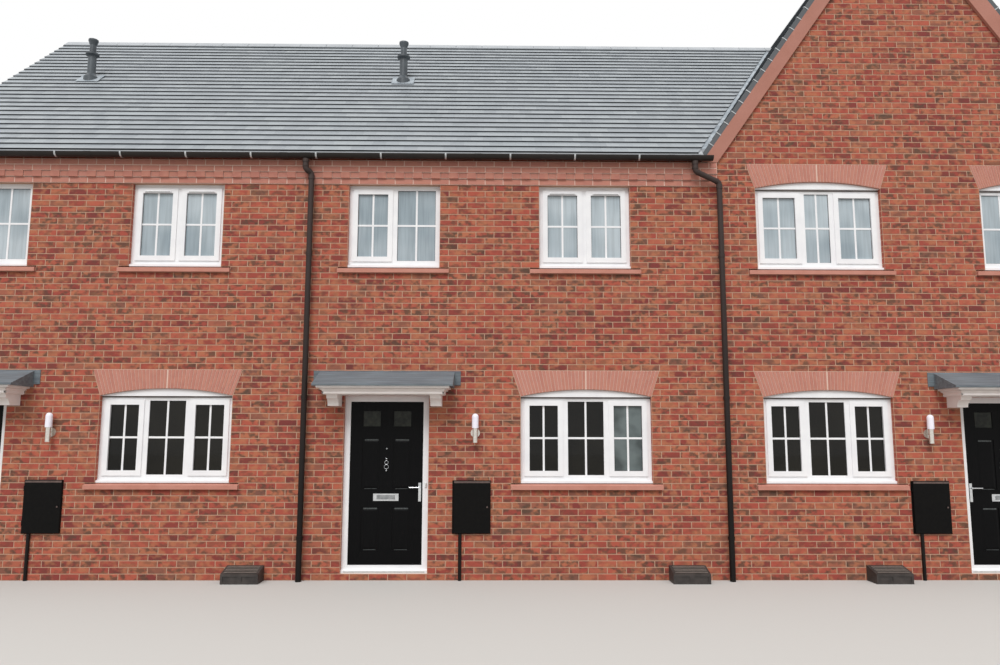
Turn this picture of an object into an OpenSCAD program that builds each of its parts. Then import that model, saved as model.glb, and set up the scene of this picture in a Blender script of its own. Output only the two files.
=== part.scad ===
// Terraced house row: two plain houses under one long roof and a gabled house at the right end.
// Millimetres. X runs along the row, Y runs from the front to the back and Z runs up from the ground.
// The origin is on the ground under the middle of the row.
// Shapes of the front are drawn with the face of the front wall at y = 0, and the back mirrors them.
// Heights are measured from the foot of the doors, which stands one brick course above the ground.

/* [Row] */
// Width of one house between the centres of its party walls
house_w = 5062.5; // [4700:0.5:5600]
// Depth of the houses over both outer walls
house_d = 6975; // [6000:5:8500]
// Thickness of the outer walls
wall_t = 300; // [250:5:350]
// Thickness of the party walls
party_t = 300; // [215:5:330]
// Thickness of the brick facing
facing_t = 102.5; // [90:0.5:110]
// Height of one brick course with its joint
course_h = 75; // [65:1:85]

/* [Floors] */
// Height of the foot of the doors above the ground
plinth_h = 75; // [50:5:150]
// Top of the ground floor
floor_z = 75; // [50:1:90]
// Underside of the first floor, where the upper walls start
storey_z = 2400; // [2390:5:2700]
// Thickness of the first floor
floor_t = 250; // [180:5:320]

/* [Roof] */
// Pitch of the long roof in degrees
roof_pitch = 42; // [35:0.5:45]
// Top of the long roof above the face of the outer wall
roof_face_z = 5215; // [5190:5:5400]
// Thickness of the roof, square to its slope
roof_t = 100; // [80:5:140]
// How far the tiles run out over the gutter
eaves_out = 110; // [90:1:120]
// Thickness of the tiles that run out, upright
eaves_t = 40; // [25:1:50]
// Pitch of the gabled roof in degrees
gable_pitch = 55; // [50:0.5:60]
// Top of the gabled roof above the sides of its house
gable_face_z = 5265; // [5240:5:5300]
// How far the gabled roof runs out in front of its wall
verge_out = 75; // [60:1:78]
// How far the foot of the gable stands over the next house
gable_foot = 112.5; // [80:0.5:150]
// Width of the ridge tiles on each slope
ridge_w = 150; // [110:5:200]
// Thickness of the ridge tiles
ridge_t = 22; // [15:1:30]
// Width of the lead on each side of a valley
valley_w = 110; // [80:5:150]
// Thickness of the lead sheet
lead_t = 4; // [2:0.5:6]
// Gap under what lies on a slope
lay_gap = 0.3; // [0.2:0.05:0.8]

/* [Raking band] */
// Width of the smooth band under the verge, square to the slope
band_w = 105; // [80:5:160]
// How far the band stands out from the wall
band_out = 45; // [30:1:60]

/* [Eaves corbel] */
// Underside of the corbel
corbel_z = 4725; // [4690:5:4760]
// How far the first course of the corbel stands out, and a third of what the upper ones do
corbel_step = 14; // [8:1:16]
// How far the corbel runs on past the middle of the party wall under the gable
corbel_past = 75; // [40:1:140]

/* [Gutter] */
// Outer radius of the half-round gutter
gutter_r = 56; // [50:1:60]
// Wall thickness of the gutter
gutter_t = 3; // [2:0.5:5]
// Height of the gutter's rim
gutter_z = 5070; // [5040:5:5074]
// Distance from the wall to the middle of the gutter
gutter_out = 137; // [136:1:150]
// Spacing of the gutter straps
strap_gap = 800; // [600:10:1000]
// Width of a gutter strap
strap_w = 20; // [12:1:30]
// Outer radius of the downpipes
pipe_r = 34; // [30:1:38]
// Gap between the corbel and the sockets of the downpipes
pipe_gap = 3; // [1:0.5:8]
// Thickness of the pipe clips and sockets around the pipe
socket_t = 5; // [3:0.5:8]

/* [Ground floor windows] */
// Width of the wide windows, which are also the upper ones of the gabled house
wide_w = 1585; // [1300:5:1700]
// Bottom of the ground floor windows
gf_sill_z = 1050; // [900:5:1200]
// Height at which their arches spring
gf_spring_z = 2085; // [2000:5:2085]
// Rise of the arches
arch_rise = 85; // [50:1:110]
// Height of an arch above its springing
arch_h = 315; // [290:5:315]
// How much wider the top of an arch is on each side
arch_splay = 104; // [60:1:130]

/* [Upper windows] */
// Width of the upper windows
pair_w = 1135; // [900:5:1250]
// Bottom of the upper windows
ff_sill_z = 3675; // [3550:5:3800]
// Height at which the arches of the gabled house spring
ff_spring_z = 4710; // [4600:5:4725]

/* [Window sections] */
// Distance from the wall's face to the window frames
recess = 60; // [40:1:80]
// Depth of the window frames
frame_d = 70; // [60:1:80]
// Width of the frame members
frame_face = 58; // [40:1:66]
// Width of the mullions
mullion_face = 72; // [56:1:90]
// Width of the casement members
sash_face = 62; // [45:1:70]
// How far a casement laps its frame
sash_lap = 12; // [6:1:18]
// How far a casement stands in front of its frame
sash_out = 14; // [8:1:20]
// Gap around a casement inside its frame
sash_gap = 3; // [2:0.5:5]
// Thickness of the sealed glass unit
glass_t = 24; // [16:1:28]
// Height of the nosing under a window frame
nosing_h = 35; // [24:1:45]
// Height of the sills
sill_h = 75; // [60:1:90]
// How far the sills stand out from the wall
sill_out = 45; // [30:1:60]
// How much longer a sill is than its window at each end
sill_ext = 118; // [60:1:130]

/* [Front doors] */
// Width of the door openings
door_w = 1020; // [950:5:1080]
// Height of the door openings
door_h = 2090; // [2050:5:2095]
// Width of the door frame as it shows from outside
jamb_face = 70; // [60:1:85]
// Thickness of the lip in front of the leaf
jamb_lip = 20; // [15:1:25]
// How far the lip covers the edge of the leaf
leaf_lap = 7; // [5:0.5:12]
// Clearance around the leaf
leaf_gap = 5; // [5:0.5:7]
// Thickness of the leaf
leaf_t = 44; // [40:1:50]
// Depth of the grooves around the door panels
panel_groove = 7; // [4:0.5:10]
// Radius of a hinge knuckle
knuckle_r = 6.5; // [5.5:0.1:8]
// Radius of a hinge pin
pin_r = 3; // [2.5:0.1:4]
// Clearance between a pin and its knuckle
pin_gap = 0.3; // [0.2:0.05:0.5]

/* [Door canopies] */
// Half width of the lead roof
canopy_half = 815; // [780:5:860]
// Half width of the moulded cornice at its top
cornice_half = 770; // [720:5:775]
// Reach of the lead roof in front of the wall
canopy_out = 460; // [380:5:520]
// Underside of the cornice
canopy_z = 2090; // [2090:1:2110]
// Height of the cornice
cornice_h = 95; // [70:1:110]
// Height of the lead roof where it meets the wall
canopy_rise = 200; // [120:5:260]
// How far the cornice moulding runs out
mould_out = 70; // [40:1:90]
// Width of a canopy bracket
bracket_w = 130; // [100:5:160]
// Distance from the middle of the door to the middle of a bracket
bracket_x = 605; // [590:1:640]

/* [Meter cabinets] */
// Width of a cabinet
cabinet_w = 442; // [400:1:500]
// Height of a cabinet
cabinet_h = 620; // [560:5:700]
// Underside of a cabinet
cabinet_z = 464; // [400:1:600]
// Depth of the cabinet in the wall
cabinet_d = 160; // [120:5:180]
// Thickness of the cabinet walls
cabinet_t = 8; // [5:1:12]
// Thickness of the flange on the wall's face
flange_t = 12; // [8:1:16]
// Thickness of the cabinet door
lid_t = 20; // [14:1:26]
// Clearance between a cabinet door and its flange
lid_gap = 5; // [5:0.5:7]

/* [Hidden] */
$fn = 64;
eps = 1;

// Plan of the row
row_w = 3 * house_w;
left_x = -row_w / 2;
function party_x(i) = left_x + i * house_w;
gable_x = party_x(2);
gable_mid = gable_x + house_w / 2;
gable_start = gable_x - gable_foot;
row_end = party_x(3);
mid_y = house_d / 2;
upper_z = storey_z + floor_t;

// Places of doors, windows and fittings, from the left party wall of each house
door_u = [1050, 1050, 3470];
hand = [1, 1, -1];
ground_window_u = [3460, 3460, 1350];
left_upper_u = 1095;
right_upper_u = 3470;
gable_wide_u = 1350;
gable_pair_u = 3970;
cabinet_u = [2085, 2085, 2524];
light_u = [2120, 2120, 2540];
gas_u = [4500, 4630, 1915];
function house_x(i, u) = party_x(i) + u;
function door_x(i) = house_x(i, door_u[i]);

// Roof heights at a distance y behind the wall's face, or at a place x along the row
roof_v = roof_t / cos(roof_pitch);
gable_v = roof_t / cos(gable_pitch);
function roof_top(y) = roof_face_z + y * tan(roof_pitch);
function roof_under(y) = roof_top(y) - roof_v;
function gable_top(x) = gable_face_z + min(x - gable_x, row_end - x) * tan(gable_pitch);
function gable_under(x) = gable_top(x) - gable_v;
// The foot of the gable sits level on the corbel as far as foot_x
corbel_top = corbel_z + 4 * course_h;
foot_x = gable_x + (corbel_top + gable_v - gable_face_z) / tan(gable_pitch);
ridge_z = roof_top(mid_y);
function valley_x(y) = gable_x + (roof_top(y) - gable_face_z) / tan(gable_pitch);

// Window kinds: the share of the width of each light, and whether a casement closes it
even_lights = [[0.34, 1], [0.32, 0], [0.34, 1]];
narrow_middle = [[0.38, 1], [0.24, 0], [0.38, 1]];
left_casement = [[0.5, 1], [0.5, 0]];
both_casements = [[0.5, 1], [0.5, 1]];
right_casement = [[0.5, 0], [0.5, 1]];

// Each window: middle, width, bottom, springing or head, arched or not, lights
function ground_window(i) =
    [window_x(i), wide_w, gf_sill_z, gf_spring_z, true, even_lights];
function pair_window(i, u, lights) = [house_x(i, u), pair_w, ff_sill_z, corbel_z, false, lights];
ground_windows = [for (i = [0:2]) ground_window(i)];
upper_windows = [for (i = [0:1]) each [
    pair_window(i, left_upper_u, left_casement),
    pair_window(i, right_upper_u, both_casements)]];
gable_windows = [
    [house_x(2, gable_wide_u), wide_w, ff_sill_z, ff_spring_z, true, narrow_middle],
    [house_x(2, gable_pair_u), pair_w, ff_sill_z, ff_spring_z, true, right_casement]];
all_windows = concat(ground_windows, upper_windows, gable_windows);

// Front and back sides
module front_side() translate([0, -mid_y, plinth_h]) children();
module rear_side() mirror([0, 1, 0]) front_side() children();
module both_sides() {
    front_side() children();
    rear_side() children();
}
// A shape drawn in x and z, made solid from y0 to y1
module upright(y0, y1) translate([0, y1, 0]) rotate([90, 0, 0]) linear_extrude(y1 - y0) children();
// A shape drawn in y and z, made solid from x0 to x1
module lengthwise(x0, x1) translate([x0, 0, 0]) rotate([90, 0, 90]) linear_extrude(x1 - x0) children();
module block(x0, x1, y0, y1, z0, z1) translate([x0, y0, z0]) cube([x1 - x0, y1 - y0, z1 - z0]);

// Window openings and arches
soffit_steps = 20;
function soffit_r(w) = (pow(w / 2, 2) + pow(arch_rise, 2)) / (2 * arch_rise);
// Cambered underside of an arch between its springings, from right to left
function soffit(w, spring) = let (r = soffit_r(w), half = asin(w / 2 / r))
    [for (k = [1:soffit_steps - 1]) let (a = half * (1 - 2 * k / soffit_steps))
        [r * sin(a), spring + arch_rise - r + r * cos(a)]];
function turned(points) = [for (k = [len(points) - 1:-1:0]) points[k]];
module opening_shape(w, sill, head, arched)
    polygon(concat([[-w / 2, sill], [w / 2, sill], [w / 2, head]], arched ? soffit(w, head) : [],
        [[-w / 2, head]]));
function arch_sides(w, spring) = [[w / 2, spring], [w / 2 + arch_splay, spring + arch_h],
    [-w / 2 - arch_splay, spring + arch_h], [-w / 2, spring]];
module window_cut(win) translate([win[0], 0, 0]) {
    upright(-eps, wall_t + eps) opening_shape(win[1], win[2], win[3], win[4]);
    if (win[4]) upright(-eps, facing_t) polygon(arch_sides(win[1], win[3]));
    block(-win[1] / 2 - sill_ext, win[1] / 2 + sill_ext, -eps, facing_t, win[2] - sill_h, win[2]);
}
module cabinet_cut(i) translate([cabinet_x(i), 0, cabinet_z])
    block(-cabinet_w / 2 + flange_t, cabinet_w / 2 - flange_t, -eps, cabinet_d,
        flange_t, cabinet_h - flange_t);

// Walls
module bay(x0, x1, windows = [], cabinets = []) difference() {
    block(x0, x1, 0, wall_t, -plinth_h, storey_z);
    for (win = windows) window_cut(win);
    for (i = cabinets) cabinet_cut(i);
}
function door_left(i) = door_x(i) - door_w / 2;
function door_right(i) = door_x(i) + door_w / 2;
// The wall over and under each door
module at_doors() for (i = [0:2]) {
    block(door_left(i), door_right(i), 0, wall_t, door_h, storey_z);
    block(door_left(i), door_right(i), 0, wall_t, -plinth_h, 0);
}
module upper_wall() difference() {
    lengthwise(left_x, gable_start)
        polygon([[0, storey_z], [wall_t, storey_z], [wall_t, roof_under(wall_t)], [0, roof_under(0)]]);
    for (win = upper_windows) window_cut(win);
}
module gable_face() difference() {
    upright(0, wall_t) polygon([[gable_start, storey_z], [row_end, storey_z], [row_end, gable_under(row_end)],
        [gable_mid, gable_under(gable_mid)], [foot_x, corbel_top], [gable_start, corbel_top]]);
    for (win = gable_windows) window_cut(win);
}
// A pier between a door and the nearest window holds the meter cabinet of each house
function cabinet_x(i) = house_x(i, cabinet_u[i]);
function window_x(i) = house_x(i, ground_window_u[i]);
function pier_x0(i) = i < 2 ? door_right(i)
    : (window_x(i) + wide_w / 2 + sill_ext + cabinet_x(i) - cabinet_w / 2 - ear_w) / 2;
function pier_x1(i) = i == 2 ? door_left(i)
    : (window_x(i) - wide_w / 2 - sill_ext + cabinet_x(i) + cabinet_w / 2) / 2;
module piers() for (i = [0:2]) bay(pier_x0(i), pier_x1(i), cabinets = [i]);
module ground_bays(first, second, second_end) {
    bay(left_x, door_left(0));
    bay(first, door_left(1), [ground_windows[0]]);
    bay(second, second_end, [ground_windows[1], ground_windows[2]]);
    bay(door_right(2), row_end);
}
module front_wall_ground() color("#a8503f") front_side() ground_bays(pier_x1(0), pier_x1(1), pier_x0(2));
module meter_piers() color("#a8503f") front_side() piers();
module front_wall_upper() color("#a8503f") front_side() upper_wall();
module rear_wall_ground() color("#a8503f") rear_side()
    ground_bays(door_right(0), door_right(1), door_left(2));
module rear_wall_upper() color("#a8503f") rear_side() upper_wall();
module gable_walls() color("#a8503f") both_sides() gable_face();
module walls_at_doors() color("#a8503f") both_sides() at_doors();

// Party walls run from the inside of the front wall to the inside of the rear wall
module party_wall(x0, x1) front_side() lengthwise(x0, x1)
    polygon([[wall_t, -plinth_h], [house_d - wall_t, -plinth_h], [house_d - wall_t, roof_under(wall_t)],
        [mid_y, roof_under(mid_y)], [wall_t, roof_under(wall_t)]]);
module end_wall() front_side() upright(wall_t, house_d - wall_t)
    polygon([[row_end - party_t, -plinth_h], [row_end, -plinth_h], [row_end, gable_under(row_end)],
        [row_end - party_t, gable_under(row_end - party_t)]]);
module party_walls() color("#a06a5a") {
    party_wall(left_x, left_x + party_t);
    for (i = [1:2]) party_wall(party_x(i) - party_t / 2, party_x(i) + party_t / 2);
    end_wall();
}

// Floors between the walls
function room_x0(i) = i == 0 ? left_x + party_t : party_x(i) + party_t / 2;
function room_x1(i) = i == 2 ? row_end - party_t : party_x(i + 1) - party_t / 2;
module ground_floor() color("#b8b4aa") for (i = [0:2]) union() {
    front_side() block(room_x0(i), room_x1(i), wall_t, house_d - wall_t, -plinth_h, floor_z);
    front_side() block(door_left(i), door_right(i), recess + frame_d, wall_t + eps, 0, floor_z);
    rear_side() block(door_left(i), door_right(i), recess + frame_d, wall_t + eps, 0, floor_z);
}
module first_floor() color("#c9b48f") for (i = [0:2])
    front_side() block(room_x0(i), room_x1(i), wall_t, house_d - wall_t, storey_z, upper_z);

// Arches and sills
module arch(win) translate([win[0], 0, 0]) upright(0, facing_t)
    polygon(concat(arch_sides(win[1], win[3]), turned(soffit(win[1], win[3]))));
module arches() for (win = all_windows) if (win[4]) arch(win);
sill_fall = 27;
throat_in = 12;
throat_w = 10;
throat_h = 7;
// A sill slopes to the front and has a drip groove under its edge
module sill(win) translate([win[0], 0, 0])
    lengthwise(-win[1] / 2 - sill_ext, win[1] / 2 + sill_ext)
        polygon([[facing_t, win[2] - sill_h], [facing_t, win[2]], [recess, win[2]],
            [-sill_out, win[2] - sill_fall], [-sill_out, win[2] - sill_h],
            [-sill_out + throat_in, win[2] - sill_h], [-sill_out + throat_in, win[2] - sill_h + throat_h],
            [-sill_out + throat_in + throat_w, win[2] - sill_h + throat_h],
            [-sill_out + throat_in + throat_w, win[2] - sill_h]]);
module window_arches() color("#c07a66") both_sides() arches();
module window_sills() color("#b0695a") both_sides() for (win = all_windows) sill(win);

// Corbel under the eaves: a course of bricks, a course of dentils with every second header out, and two more
corbel_end = gable_x + corbel_past;
corbel_out = 3 * corbel_step;
dentil_w = 112.5;
dentil_first = 87.75;
dentil_count = floor((corbel_end - left_x - dentil_first) / (2 * dentil_w));
module corbel() {
    lengthwise(left_x, corbel_end) polygon([
        [0, corbel_z], [-corbel_step, corbel_z], [-corbel_step, corbel_z + 2 * course_h],
        [-corbel_out, corbel_z + 2 * course_h], [-corbel_out, corbel_top], [0, corbel_top]]);
    for (k = [0:dentil_count - 1]) translate([left_x + dentil_first + 2 * k * dentil_w, 0, corbel_z])
        block(0, dentil_w, -corbel_out, 0, course_h, 2 * course_h);
}
module eaves_corbels() color("#c48472") both_sides() corbel();

// Smooth band that follows the verge of the gable from the top of the corbel
band_v = band_w / cos(gable_pitch);
band_foot_x = foot_x + band_v / tan(gable_pitch);
module band() upright(-band_out, 0) polygon([
    [foot_x, corbel_top], [gable_mid, gable_under(gable_mid)], [row_end, gable_under(row_end)],
    [row_end, gable_under(row_end) - band_v], [gable_mid, gable_under(gable_mid) - band_v],
    [band_foot_x, corbel_top]]);
module raking_bands() color("#c48a7a") both_sides() band();

// Roofs, cut in plan where the long roof meets the gabled one
module main_slope_plan() polygon([[left_x, -eaves_out], [gable_start, -eaves_out], [gable_start, 0],
    [valley_x(0), 0], [valley_x(mid_y), mid_y], [left_x, mid_y]]);
module gable_slope_plan() polygon([[gable_start, -verge_out], [gable_mid, -verge_out],
    [gable_mid, house_d + verge_out], [gable_start, house_d + verge_out], [gable_start, house_d],
    [valley_x(0), house_d], [valley_x(mid_y), mid_y], [valley_x(0), 0], [gable_start, 0]]);
module main_slope() intersection() {
    lengthwise(left_x, gable_mid) polygon([
        [-eaves_out, roof_top(-eaves_out)], [-eaves_out, roof_top(-eaves_out) - eaves_t],
        [0, roof_top(0) - eaves_t], [0, roof_under(0)], [mid_y - lay_gap, roof_under(mid_y - lay_gap)],
        [mid_y - lay_gap, roof_top(mid_y - lay_gap)]]);
    linear_extrude(ridge_z * 2) main_slope_plan();
}
module main_roof() color("#8b9094") both_sides() main_slope();
// The slope of the gabled roof towards the long roof, then the one towards the row's end
module left_gable_slope() intersection() {
    upright(-verge_out, house_d + verge_out) polygon([
        [gable_start, corbel_top], [gable_start, gable_top(gable_start)],
        [gable_mid, gable_top(gable_mid)], [gable_mid, gable_under(gable_mid)], [foot_x, corbel_top]]);
    linear_extrude(ridge_z * 2) gable_slope_plan();
}
module right_gable_slope() upright(-verge_out, house_d + verge_out) polygon([
    for (x = [gable_mid + lay_gap, row_end]) [x, gable_top(x)],
    for (x = [row_end, gable_mid + lay_gap]) [x, gable_under(x)]]);
module gable_roof() color("#8b9094") front_side() {
    left_gable_slope();
    right_gable_slope();
}

// Ridge tiles fold over both slopes
ridge_l = 450;
ridge_joint = 6;
module ridge_shape(mid, z, pitch) polygon([
    [mid, z], [mid - ridge_w * cos(pitch), z - ridge_w * sin(pitch)],
    [mid - ridge_w * cos(pitch) - ridge_t * sin(pitch), z - ridge_w * sin(pitch) + ridge_t * cos(pitch)],
    [mid, z + ridge_t / cos(pitch)],
    [mid + ridge_w * cos(pitch) + ridge_t * sin(pitch), z - ridge_w * sin(pitch) + ridge_t * cos(pitch)],
    [mid + ridge_w * cos(pitch), z - ridge_w * sin(pitch)]]);
module ridge_run(first, last) for (k = [0:ceil((last - first) / ridge_l) - 1])
    lengthwise(first + k * ridge_l, min(first + (k + 1) * ridge_l - ridge_joint, last)) children();
module ridge_tiles() color("#9a9da0") front_side() {
    difference() {
        ridge_run(left_x, gable_mid) ridge_shape(mid_y, ridge_z + lay_gap, roof_pitch);
        upright(-eps, house_d + eps) polygon([[gable_x, 0], [gable_x, gable_top(gable_x) + lay_gap],
            [gable_mid, gable_top(gable_mid) + lay_gap], [gable_mid + eps, 0]]);
    }
    translate([gable_mid, 0, 0]) rotate([0, 0, 90]) ridge_run(-verge_out, house_d + verge_out)
        ridge_shape(0, gable_top(gable_mid) + lay_gap, gable_pitch);
}

// Lead sheet along each valley, one strip on either slope
module valley_strip(dx) polygon([[valley_x(0), 0], [valley_x(mid_y), mid_y],
    [valley_x(mid_y) + dx, mid_y], [valley_x(0) + dx, 0]]);
module valley_lead() {
    intersection() {
        lengthwise(gable_start - house_w, gable_mid)
            polygon([for (end = [[0, lay_gap], [mid_y, lay_gap], [mid_y, lead_t], [0, lead_t]])
                [end[0], roof_top(end[0]) + end[1]]]);
        linear_extrude(ridge_z * 2) valley_strip(-valley_w * 2);
        ridge_clear();
    }
    intersection() {
        upright(0, mid_y)
            polygon([for (end = [[gable_start, lay_gap], [gable_mid, lay_gap], [gable_mid, lead_t],
                [gable_start, lead_t]]) [end[0], gable_top(end[0]) + end[1]]]);
        linear_extrude(ridge_z * 2) valley_strip(valley_w);
        ridge_clear();
    }
}
// Everything in front of the ridge tiles
module ridge_clear() block(left_x, row_end, 0, mid_y - ridge_w, 0, ridge_z * 2);
module valley_leads() color("#b9bcc0") both_sides() valley_lead();

// Vent terminals on the front slope of the two plain houses
vent_u = [1230, 945];
vent_y = 1990;
vent_r = 60;
slate_w = 420;
slate_l = 300;
// Radius and height of each step of a terminal: foot, stem, collar, neck and cap
foot_r = 105;
foot_h = 25;
stem_h = 85;
collar_r = 98;
collar_z = 385;
collar_h = 25;
neck_r = 47;
neck_h = 545;
cap_r = 72;
vent_h = 615;
cap_lip = 22;
vent_below = 120;
module vent_body() translate([0, 0, -vent_below]) rotate_extrude() polygon([
    [0, 0], [foot_r, 0], [foot_r, vent_below + foot_h], [vent_r, vent_below + stem_h],
    [vent_r, vent_below + collar_z - collar_h], [collar_r, vent_below + collar_z],
    [collar_r, vent_below + collar_z + collar_h], [neck_r, vent_below + collar_z + 2 * collar_h],
    [neck_r, vent_below + neck_h], [cap_r, vent_below + vent_h], [cap_r, vent_below + vent_h + cap_lip],
    [0, vent_below + vent_h + cap_lip]]);
// The space over the slope, from one height above it to another
module over_slope(low, high) {
    drop = slate_w * tan(roof_pitch);
    lengthwise(-slate_w, slate_w)
        polygon([[-slate_w, low - drop], [slate_w, low + drop],
            [slate_w, high + drop], [-slate_w, high - drop]]);
}
module vent(i) translate([house_x(i, vent_u[i]), vent_y, roof_top(vent_y)]) {
    intersection() {
        vent_body();
        over_slope(lay_gap, 3 * vent_h);
    }
    intersection() {
        over_slope(lay_gap, lead_t);
        translate([-slate_w / 2, -slate_l / 2, -slate_l]) cube([slate_w, slate_l, 2 * slate_l]);
    }
}
module roof_vents() color("#5d6265") front_side() for (i = [0:1]) vent(i);

// Gutters in lengths that hang in three straps each, with unions, outlets and stop ends
gutter_l = 3 * strap_gap;
gutter_joint = 4;
union_w = 90;
outlet_w = 120;
collar_t = 5;
outlet_h = 45;
module half_round(r) translate([-gutter_out, gutter_z]) intersection() {
    circle(r);
    translate([-r, -r]) square([2 * r, r]);
}
module half_ring(outer, inner) difference() {
    half_round(outer);
    half_round(inner);
}
module gutter() {
    for (k = [0:ceil((gable_x - left_x) / gutter_l) - 1])
        lengthwise(left_x + k * gutter_l, min(left_x + (k + 1) * gutter_l - gutter_joint, gable_x))
            half_ring(gutter_r, gutter_r - gutter_t);
    for (x = [left_x, gable_x - gutter_t]) lengthwise(x, x + gutter_t) half_round(gutter_r);
    for (k = [1:floor((gable_x - left_x) / gutter_l)])
        lengthwise(left_x + k * gutter_l - union_w / 2, left_x + k * gutter_l + union_w / 2)
            half_ring(gutter_r + collar_t, gutter_r + lay_gap);
    for (x = outlet_x) lengthwise(x - outlet_w / 2, x + outlet_w / 2)
        half_ring(gutter_r + collar_t, gutter_r + lay_gap);
}
module gutters() color("#1d2022") both_sides() gutter();
strap_count = floor((row_w - house_w - gable_foot) / strap_gap);
module strap(x) lengthwise(x - strap_w / 2, x + strap_w / 2) {
    half_ring(gutter_r + gutter_t, gutter_r);
    translate([-gutter_out + gutter_r, gutter_z - 2 * gutter_t])
        square([gutter_out - gutter_r - corbel_out, 2 * gutter_t]);
}
// No strap stands where an outlet is
function strap_x(k) = left_x + strap_gap * (k + 0.5);
function near_outlet(x) = min([for (o = outlet_x) abs(x - o)]) < (outlet_w + strap_w) / 2 + gutter_joint;
module straps() for (k = [0:strap_count - 1]) if (!near_outlet(strap_x(k))) strap(strap_x(k));
module gutter_straps() color("#b5b8ba") both_sides() straps();

// Each downpipe: its place and the place of its outlet, then a swan neck of two bends between them
pipe_u = [71, 85];
outlet_u = [6, -224];
pipe_x = [for (i = [0:1]) party_x(i + 1) + pipe_u[i]];
outlet_x = [for (i = [0:1]) party_x(i + 1) + outlet_u[i]];
pipe_out = corbel_out + pipe_gap + socket_t + pipe_r;
outlet_drop = 97;
neck_pitch = 22;
bend_r = 48;
clip_zs = [3800, 2050, 400];
clip_h = 40;
clip_w = 40;
lug_inset = 5;
socket_h = 50;
bend_socket_h = 9;
// The sockets reach a little over the ends of the bends, and the straight pipes stop inside them
socket_lip = 2;
pipe_stop = 4;
module socket(h) cylinder(r = pipe_r + socket_t, h = h);
// From the outlet's foot the pipe bends out to a gentle slope and then down again
function neck_run(i) = norm([pipe_x[i] - outlet_x[i], gutter_out - pipe_out]);
neck_side = bend_r * (1 - sin(neck_pitch));
neck_fall = bend_r * cos(neck_pitch);
neck_top = gutter_z - gutter_r - collar_t - outlet_drop;
function neck_foot(i) = neck_top - 2 * neck_fall - (neck_run(i) - 2 * neck_side) * tan(neck_pitch);
module neck_bend() rotate([90, 0, 0])
    rotate_extrude(angle = 90 - neck_pitch) translate([bend_r, 0]) circle(pipe_r);
module swan_neck(i) {
    slope_l = (neck_run(i) - 2 * neck_side) / cos(neck_pitch);
    slope_fall = slope_l * sin(neck_pitch);
    translate([bend_r, 0, 0]) mirror([1, 0, 0]) mirror([0, 0, 1]) neck_bend();
    translate([neck_side, 0, -neck_fall]) rotate([0, 90 + neck_pitch, 0]) {
        translate([0, 0, pipe_stop]) cylinder(r = pipe_r, h = slope_l - 2 * pipe_stop);
        for (z = [-socket_lip, slope_l - bend_socket_h])
            translate([0, 0, z]) socket(bend_socket_h + socket_lip);
    }
    translate([neck_run(i) - bend_r, 0, -2 * neck_fall - slope_fall]) neck_bend();
}
module downpipe(i) {
    turn = atan2(gutter_out - pipe_out, pipe_x[i] - outlet_x[i]);
    translate([outlet_x[i], -gutter_out, neck_top]) {
        translate([0, 0, pipe_stop]) cylinder(r = pipe_r, h = outlet_drop - lay_gap - pipe_stop);
        translate([0, 0, outlet_drop - outlet_h]) socket(outlet_h - lay_gap);
        translate([0, 0, -socket_lip]) socket(socket_h / 2);
        rotate([0, 0, turn]) swan_neck(i);
    }
    translate([pipe_x[i], -pipe_out, 0]) {
        translate([0, 0, -plinth_h]) cylinder(r = pipe_r, h = neck_foot(i) + plinth_h - pipe_stop);
        translate([0, 0, neck_foot(i) - socket_h]) socket(socket_h + socket_lip);
        for (z = clip_zs) {
            translate([0, 0, z]) socket(clip_h);
            block(-clip_w / 2, clip_w / 2, 0, pipe_out, z + lug_inset, z + clip_h - lug_inset);
        }
    }
}
module downpipes() color("#1d2022") both_sides() for (i = [0:1]) downpipe(i);

// Windows: frame, casements and glass
nosing_out = 45;
nosing_fall = 9;
sash_back = 10;
glass_in = 15;
function light_start(lights, k) = k == 0 ? 0 : light_start(lights, k - 1) + lights[k - 1][0];
// Left and right edge of the clear opening of a light, from the middle of the window
function light_x0(win, k) = -win[1] / 2 + (k == 0 ? frame_face
    : light_start(win[5], k) * win[1] + mullion_face / 2);
function light_x1(win, k) = -win[1] / 2 + (k == len(win[5]) - 1 ? win[1] - frame_face
    : light_start(win[5], k + 1) * win[1] - mullion_face / 2);
function light_z0(win) = win[2] + nosing_h + frame_face;
function light_z1(win) = win[3] - frame_face;
module light_shape(win, k, grow) translate([light_x0(win, k) - grow, light_z0(win) - grow])
    square([light_x1(win, k) - light_x0(win, k) + 2 * grow, light_z1(win) - light_z0(win) + 2 * grow]);
module window_frame(win) translate([win[0], 0, 0]) {
    upright(recess, recess + frame_d) difference() {
        opening_shape(win[1], win[2], win[3], win[4]);
        for (k = [0:len(win[5]) - 1]) light_shape(win, k, 0);
    }
    lengthwise(-win[1] / 2, win[1] / 2) polygon([
        [recess + eps, win[2]], [recess + eps, win[2] + nosing_h],
        [recess - nosing_out, win[2] + nosing_h - nosing_fall], [recess - nosing_out, win[2]]]);
}
module sash(win, k) difference() {
    union() {
        upright(recess - sash_out, recess) light_shape(win, k, sash_lap);
        upright(recess - eps, recess + frame_d - sash_back) light_shape(win, k, -sash_gap);
    }
    upright(0, wall_t) light_shape(win, k, sash_lap - sash_face);
}
module window_casements(win) translate([win[0], 0, 0])
    for (k = [0:len(win[5]) - 1]) if (win[5][k][1] == 1) sash(win, k);
module glass(win) translate([win[0], 0, 0]) for (k = [0:len(win[5]) - 1])
    upright(recess + glass_in, recess + glass_in + glass_t)
        light_shape(win, k, win[5][k][1] == 1 ? sash_lap - sash_face : 0);
module window_frames() color("#f0f1f2") both_sides() for (win = all_windows) window_frame(win);
module casements() color("#f5f6f7") both_sides() for (win = all_windows) window_casements(win);
module window_glass() color("#7d8e98") both_sides() for (win = all_windows) glass(win);

// Doors. The leaf sits behind a lip of the frame and swings into the house on three hinges.
lip_z = 90;
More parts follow.
